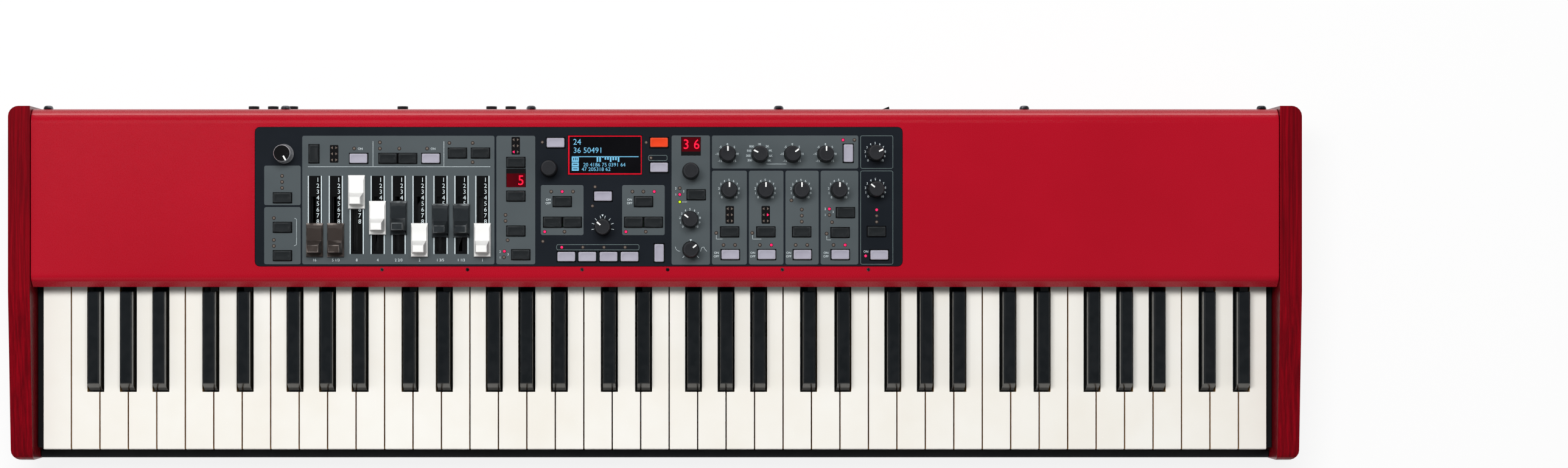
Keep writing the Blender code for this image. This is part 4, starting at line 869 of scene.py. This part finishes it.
def shorten_to_skin(piece, high=PANEL_TOP + 0.03):
    """Brings the top of thin marks down to just above the fascia."""
    choose(piece, "VERT", lambda corner: corner.co.z > (PANEL_TOP + 0.3) * MM)
    bpy.ops.transform.translate(value=(0, 0, (high - PANEL_TOP - 1) * MM))
    rest()


# ---- numbers, ticks and lines
def number_template(words):
    """A number as flat mesh one millimetre high, centred on the origin."""
    rest()
    bpy.ops.object.text_add()
    text = bpy.context.object
    text.data.body = words
    text.data.size = MM
    text.data.resolution_u = 3
    text.data.extrude = 0.02 * MM
    bpy.ops.object.convert(target="MESH")
    number = named(f"number {words}")
    bpy.ops.object.origin_set(type="ORIGIN_GEOMETRY", center="BOUNDS")
    number.location = (0, 0, 0)
    tall = number.dimensions.y / MM
    number.scale = (1 / tall, 1 / tall, 1)
    apply_place()
    return number


def around(middle, degrees, radius):
    """The point at a clockwise angle from the rear, at a radius round a middle."""
    turn = math.radians(degrees)
    return middle[0] + math.sin(turn) * radius, middle[1] + math.cos(turn) * radius


def build_numbers():
    """Dial numbers, track digits, ticks and thin white lines, as one printed piece."""
    templates = {}
    marks = []
    height = PANEL_TOP + 0.02

    def number(words, place, size):
        if words not in templates:
            templates[words] = number_template(words)
        marks.append(stamp(templates[words], *place, height, scale=(size, size, 1)))

    dash = block("dash", (-0.5, -0.5, -0.02), (0.5, 0.5, 0.02))
    wedge = prism("wedge", 3, 1.1, 0.04, rotation=(0, 0, math.pi))

    def stroke(a, b, width):
        length = math.dist(a, b)
        middle = ((a[0] + b[0]) / 2, (a[1] + b[1]) / 2)
        turn = math.degrees(math.atan2(b[0] - a[0], b[1] - a[1]))
        marks.append(stamp(dash, *middle, height, turn, (width, length + width, 1)))

    def polyline(*points, width=0.25):
        for a, b in zip(points, points[1:]):
            stroke(spot(*a), spot(*b), width)

    for node, dx, dy, pointer, dial in KNOBS:
        middle = on_fascia(dx, dy)
        for words, degrees, radius in DIALS.get(dial, ()):
            number(words, around(middle, degrees, radius), 1.8)
        turns = {"ticks": (-103, -71, -42, -13, 13, 42, 71, 103), "release": (-135, 135)}
        for turn in turns.get(dial, ()):
            stroke(around(middle, turn, 7.5), around(middle, turn, 9.2), 0.4)
    for x, footage in zip(DRAWBAR_PLACES, FOOTAGES):
        number(footage, (x, spot(0, 427.3)[1]), 2.2)
        for digit in range(8):
            _, y = spot(0, 295.4 + 9.78 * digit)
            number(str(digit + 1), (x + 2.5, y), 3.5)
    for words, px, py in SMALL_PRINT:
        number(words, spot(px, py), 1.8)
    for px, py in ((989.9, 353.6), (1134.8, 394.4)):
        marks.append(stamp(wedge, *spot(px, py), height))
    polyline((506.2, 273.9), (805.3, 273.9), width=0.3)
    polyline((612.9, 232.3), (612.9, 273.9), width=0.3)
    polyline((729.2, 232.3), (729.2, 273.9), width=0.3)
    polyline((484.0, 358.6), (487.3, 360.4), (487.3, 402.0), (483.2, 404.0))
    polyline((1176.8, 386.5), (1176.8, 392.9), (1186.9, 392.9))
    polyline((1236.4, 386.5), (1236.4, 392.9), (1250.4, 392.9))
    polyline((1358.2, 387.9), (1358.2, 394.1), (1364.7, 394.1))
    polyline((1120.4, 331.9), (1128.7, 331.9))
    polyline((1259.3, 269.5), (1291.8, 269.5))
    polyline((1109.3, 405.5), (1110.6, 409.5), (1113.0, 411.8), (1117.0, 413.0))
    polyline((1151.0, 412.8), (1153.0, 406.5), (1156.5, 406.0), (1158.0, 409.5), (1161.0, 412.8))
    settle(finish(joined("white_print", marks), "ink"), "charcoal_print")
    discard(dash, wedge, *templates.values())


# ---- lamps
LIT_LAMPS = (
    (828.6, 412.9), (923.6, 314.8), (894.9, 380.8), (1074.8, 314.8), (1028.3, 380.8), (922.9, 406.4),
    (1116.8, 319.6), (1385.0, 230.0), (1267.2, 402.6), (1362.5, 343.3), (1388.4, 402.6), (1440.2, 344.8),
    (1422.1, 420.5),
)
# The unlit lamps' distances down the measured view, under their distance across it
UNLIT_LAMPS = {
    582: [244], 624.2: [234, 244.2], 656: [244.2], 701.7: [244.2], 738.3: [235], 776.6: [235, 266.5],
    463.5: [289.1, 299, 308.9], 450: [358.3, 394.4, 404.3], 830.5: [353.2, 363.1], 834: [394.7],
    828: [422.8], 891.1: [233.8], 1061.6: [234.2], 1069.4: [259.5], 905.6: [314.8], 941.4: [314.8],
    927.4: [380.8], 977.6: [307.1], 973.4: [338.5], 1039: [314.8], 1057: [314.8], 1060.8: [380.8],
    957.5: [406.4], 992.3: [406.4], 1026.9: [406.4], 891.9: [396.7], 1116.8: [309.2], 1403.6: [230],
    1176.6: [382.8], 1188.6: [402.6], 1207.6: [402.6], 1235.9: [382.8], 1248.4: [402.6],
    1300.2: [329.2], 1317.2: [344.4, 354.4, 364.2], 1307.1: [402.6], 1326.1: [402.6],
    1362.5: [353.3], 1367: [365.1], 1358: [383.9], 1369.4: [402.6], 1440.2: [354.6, 364.7],
}
# Blocks of six small triangles: the middle, and the lit one as (row, side)
ARROWS = (
    ((549.0, 252.8), None),
    ((847.3, 239.6), (1, -1)),
    ((1198.9, 353.0), None),
    ((1258.0, 353.0), (0, 1)),
)


def build_lamps():
    """Round lamps in dark rings and the blocks of triangular lamps."""
    rim = [(0, -0.4), (1.5, -0.4), (1.5, 0.12), (1.35, 0.2), (1.15, 0.2), (1.05, 0.1), (0, 0.1)]
    dome = [(0, -0.1), (1.04, -0.1), (1.0, 0.22), (0.75, 0.42), (0.4, 0.52), (0, 0.55)]
    collar = soften(turned("collar", rim, 24), 0, smooth=50)
    lens = soften(turned("lens", dome, 20), 0, smooth=60)
    places = [spot(*lamp) for lamp in LIT_LAMPS]
    dark = [spot(px, py) for px, heights in UNLIT_LAMPS.items() for py in heights]
    green = spot(1116.8, 331.8)
    rings = [stamp(collar, *place, PANEL_TOP) for place in [*places, *dark, green]]
    lit = [stamp(lens, *place, PANEL_TOP) for place in places]
    off = [stamp(lens, *place, PANEL_TOP) for place in dark]
    arrow = soften(prism("arrow", 3, 1.35, 0.5, location=(0, 0, 0.05 * MM)), 0.12)
    beds = []
    low, high = PANEL_TOP - 0.3, PANEL_TOP + 0.12
    for middle, glowing_one in ARROWS:
        x, y = spot(*middle)
        beds.append(plate("bed", (x - 3.5, y - 7.3, low), (x + 3.5, y + 7.3, high), 0.8, 3))
        for row in (-1, 0, 1):
            for side in (-1, 1):
                place = (x + side * 1.6, y - row * 5.0, PANEL_TOP + 0.15)
                shape = stamp(arrow, *place, turn=side * 90, scale=(1.0, 0.85, 1))
                (lit if (row, side) == glowing_one else off).append(shape)
    settle(finish(soften(joined("lamp_beds", beds), 0.08, 1), "gloss black"), "black_plastic")
    settle(finish(joined("lamp_rings", rings), "ring"), "black_plastic")
    settle(finish(joined("lit_lamps", lit), "lit"), "display_window")
    settle(finish(joined("unlit_lamps", off), "unlit"), "display_window")
    settle(finish(joined("green_lamp", [stamp(lens, *green, PANEL_TOP)]), "green"), "display_window")
    discard(collar, lens, arrow)


# ---- displays
def build_displays():
    """The main screen with plain content, and two small red number displays."""
    glass = finish(refined("display_window", "screen_glass", 0.25), "screen red")
    settle(glass, "display_window", "display_window")
    top = PANEL_TOP - 0.2
    screen = field_block("screen_face", (935.7, 1052.7, 224.6, 284.7), top - 0.3, top + 0.04, 0.5)
    settle(finish(screen, "screen"), "display_window")
    shapes = [(939.3, 1049.1, 256.9, 258.2)]
    shapes += [(939.3, 950.9, *rows) for rows in ((257.4, 265.9), (266.8, 273.5), (274.4, 280.6))]
    for index, length in enumerate((8, 8, 1, 4.4, 4.4, 8, 5.2, 5.2, 8)):
        left = 980.2 + index * 4.33
        shapes.append((left, left + 2.7, 258.0, 258.0 + length))
    pixels = [field_block("pixel", edges, top, top + 0.08, 0.1) for edges in shapes]
    for words, px, py, size in (
        ("24", 948.2, 233.1, 4.7),
        ("36 50491", 965.1, 246.8, 4.5),
        ("20 4186 75 0391 64", 992.9, 270.6, 3.0),
        ("47 205318 62", 979.2, 278.0, 3.0),
    ):
        template = number_template(words)
        pixels.append(stamp(template, *spot(px, py), top + 0.06, scale=(size, size, 1)))
        discard(template)
    settle(finish(joined("screen_pixels", pixels), "pixel"), "display_window")
    strips = [(942.0 + index * 2.7, 943.2 + index * 2.7, 259.4, 263.6) for index in range(3)]
    strips += [(941.4, 948.8, 269.4, 270.8), (941.4, 948.8, 276.9, 278.1)]
    gaps = [field_block("gap", edges, top, top + 0.1, 0.1) for edges in strips]
    settle(finish(joined("screen_gaps", gaps), "screen"), "display_window")
    edges = ((831.6, 863.8, 276.7, 308.1), (1119.1, 1151.4, 225.0, 255.9))
    frames = [field_block("frame", place, 70.0, top, 0.8) for place in edges]
    edges = ((832.4, 863.0, 285.0, 307.4), (1119.9, 1150.6, 225.8, 249.0))
    faces = [field_block("window", place, top - 0.2, top + 0.06, 0.5) for place in edges]
    digits = []
    for words, px, py in (("5", 855.8, 296.2), ("3", 1127.2, 236.9), ("6", 1144.5, 236.9)):
        template = number_template(words)
        digits.append(stamp(template, *spot(px, py), top + 0.08, scale=(7.4, 7.9, 1)))
        discard(template)
    settle(finish(soften(joined("number_frames", frames), 0.2), "gloss black"), "black_plastic")
    settle(finish(joined("number_windows", faces), "red window"), "display_window")
    settle(finish(joined("number_digits", digits), "digit"), "display_window")


# ---- boards and screws
def build_board():
    """The panel board with its potentiometers and switch bodies, cut below the button caps."""
    board = tidied("panel_board", "switch_board")
    choose(board, "FACE", lambda face: True)
    bpy.ops.mesh.bisect(plane_co=(0, 0, (PANEL_TOP - 0.5) * MM), plane_no=(0, 0, 1), use_fill=True, clear_outer=True)
    rest()
    finish(soften(board, 0.1, 1), "board", "black plastic")
    recolour(board, 1, lambda place, normal: place.z > PANEL_BOARD_TOP)
    settle(board, "circuit_board", "panel_board")


def screw_template(name, radius, height):
    """A pan-head screw with a cross recess."""
    profile = [(0, height), (radius * 0.55, height * 0.97), (radius * 0.85, height * 0.75), (radius, height * 0.3)]
    profile += [(radius, -0.2), (0, -0.2)]
    head = turned(name, profile, 28)
    half, thick = radius * 0.5, radius * 0.13
    for turn in (0, -90):
        bar = block("bar", (-half, -thick, height * 0.45), (half, thick, height + 1))
        bar.rotation_euler = (0, 0, math.radians(turn))
        combine(head, bar, "DIFFERENCE")
    return soften(head, 0, smooth=40)


def build_screws():
    """Six small screws before the fascia and six larger ones in the rear wall."""
    small = screw_template("small_screw", 1.5, 0.6)
    front = [stamp(small, x, 10.0, PANEL_TOP) for x in (-223.8, -153.7, -59.8, 10.4, 104.4, 174.9)]
    settle(finish(joined("cover_screws", front), "dark metal"), "black_plastic")
    large = screw_template("large_screw", 4.0, 3.0)
    rear = [stamp(large, x, REAR_WALL, 66.0) for x in (-500.0, -304.5, -102.0, 102.0, 304.5, 500.0)]
    for screw in rear:
        screw.rotation_euler = (-math.pi / 2, 0, 0)
    settle(finish(joined("rear_screws", rear), "dark metal"), "black_plastic")
    discard(small, large)


# ---- floor, light and camera
def build_stage():
    """A pale floor that reads white to the camera and keeps a soft shadow."""
    rest()
    bpy.ops.mesh.primitive_plane_add(size=12.0)
    floor = named("floor")
    material, tree, shader = blank("pale_floor", {"Base Color": (0.9, 0.9, 0.9, 1), "Roughness": 0.9})
    rays = add(tree, "LightPath").outputs
    greater = {"operation": "MAXIMUM"}
    seen = add(tree, "Math", greater, {0: rays["Is Camera Ray"], 1: rays["Is Glossy Ray"]})
    seen = add(tree, "Math", greater, {0: seen.outputs[0], 1: rays["Is Transmission Ray"]})
    share = add(tree, "Math", {"operation": "MULTIPLY", 1: 0.85}, {0: seen.outputs[0]})
    glow = add(tree, "Emission", {"Color": (1, 1, 1, 1), "Strength": 1.0})
    layers = {0: share.outputs[0], 1: shader.outputs[0], 2: glow.outputs[0]}
    blend = add(tree, "MixShader", {}, layers)
    tree.links.new(blend.outputs[0], tree.nodes["Material Output"].inputs["Surface"])
    floor.data.materials.append(material)

    world = bpy.data.worlds.new("studio")
    bpy.context.scene.world = world
    world.use_nodes = True
    world.node_tree.nodes["Background"].inputs["Color"].default_value = (1, 1, 1, 1)
    world.node_tree.nodes["Background"].inputs["Strength"].default_value = 0.14


def build_light(name, place, aim, size, power, diffuse=True, glossy=True):
    """A soft box of a given size aimed at a point, in metres; it may leave out shading or reflections."""
    rest()
    bpy.ops.object.light_add(type="AREA", location=place)
    light = named(name)
    light.data.shape = "RECTANGLE"
    light.data.size, light.data.size_y = size
    light.data.energy = power
    light.rotation_euler = (Vector(aim) - Vector(place)).to_track_quat("-Z", "Y").to_euler()
    light.visible_diffuse = diffuse
    light.visible_glossy = glossy
    light.visible_camera = False


def build_camera():
    """A camera straight above, framed as the photograph is."""
    rest()
    bpy.ops.object.camera_add(location=(0.0, 0.001, 2.456), rotation=(0, 0, 0))
    camera = named("camera")
    camera.data.sensor_width = 36.0
    camera.data.lens = 66.55
    camera.data.shift_x = 0.0823
    camera.data.shift_y = 0.0297
    camera.data.clip_start = 0.01
    camera.data.clip_end = 50.0
    bpy.context.scene.camera = camera


build_camera()
build_stage()
build_light("overhead_softbox", (-0.25, 0.85, 2.6), (0.0, 0.0, 0.05), (1.8, 0.7), 74.0, glossy=False)
build_light("rear_reflector", (-0.1, 2.1, 0.48), (0.0, 0.14, 0.08), (3.4, 0.5), 32.0, diffuse=False)
build_light("left_softbox", (-1.9, 0.2, 1.5), (0.0, 0.0, 0.05), (0.8, 2.0), 6.0)
build_light("right_softbox", (1.9, -0.2, 1.5), (0.0, 0.0, 0.05), (0.8, 2.0), 3.5)
build_light("front_softbox", (-0.4, -1.8, 1.5), (0.0, 0.0, 0.05), (2.4, 0.7), 1.5)
build_case()
build_chassis()
build_keys()
build_board()
build_fascia()
build_numbers()
build_lamps()
build_displays()
build_buttons()
build_knobs()
build_drawbars()
build_screws()

bpy.context.scene.view_settings.view_transform = "Standard"
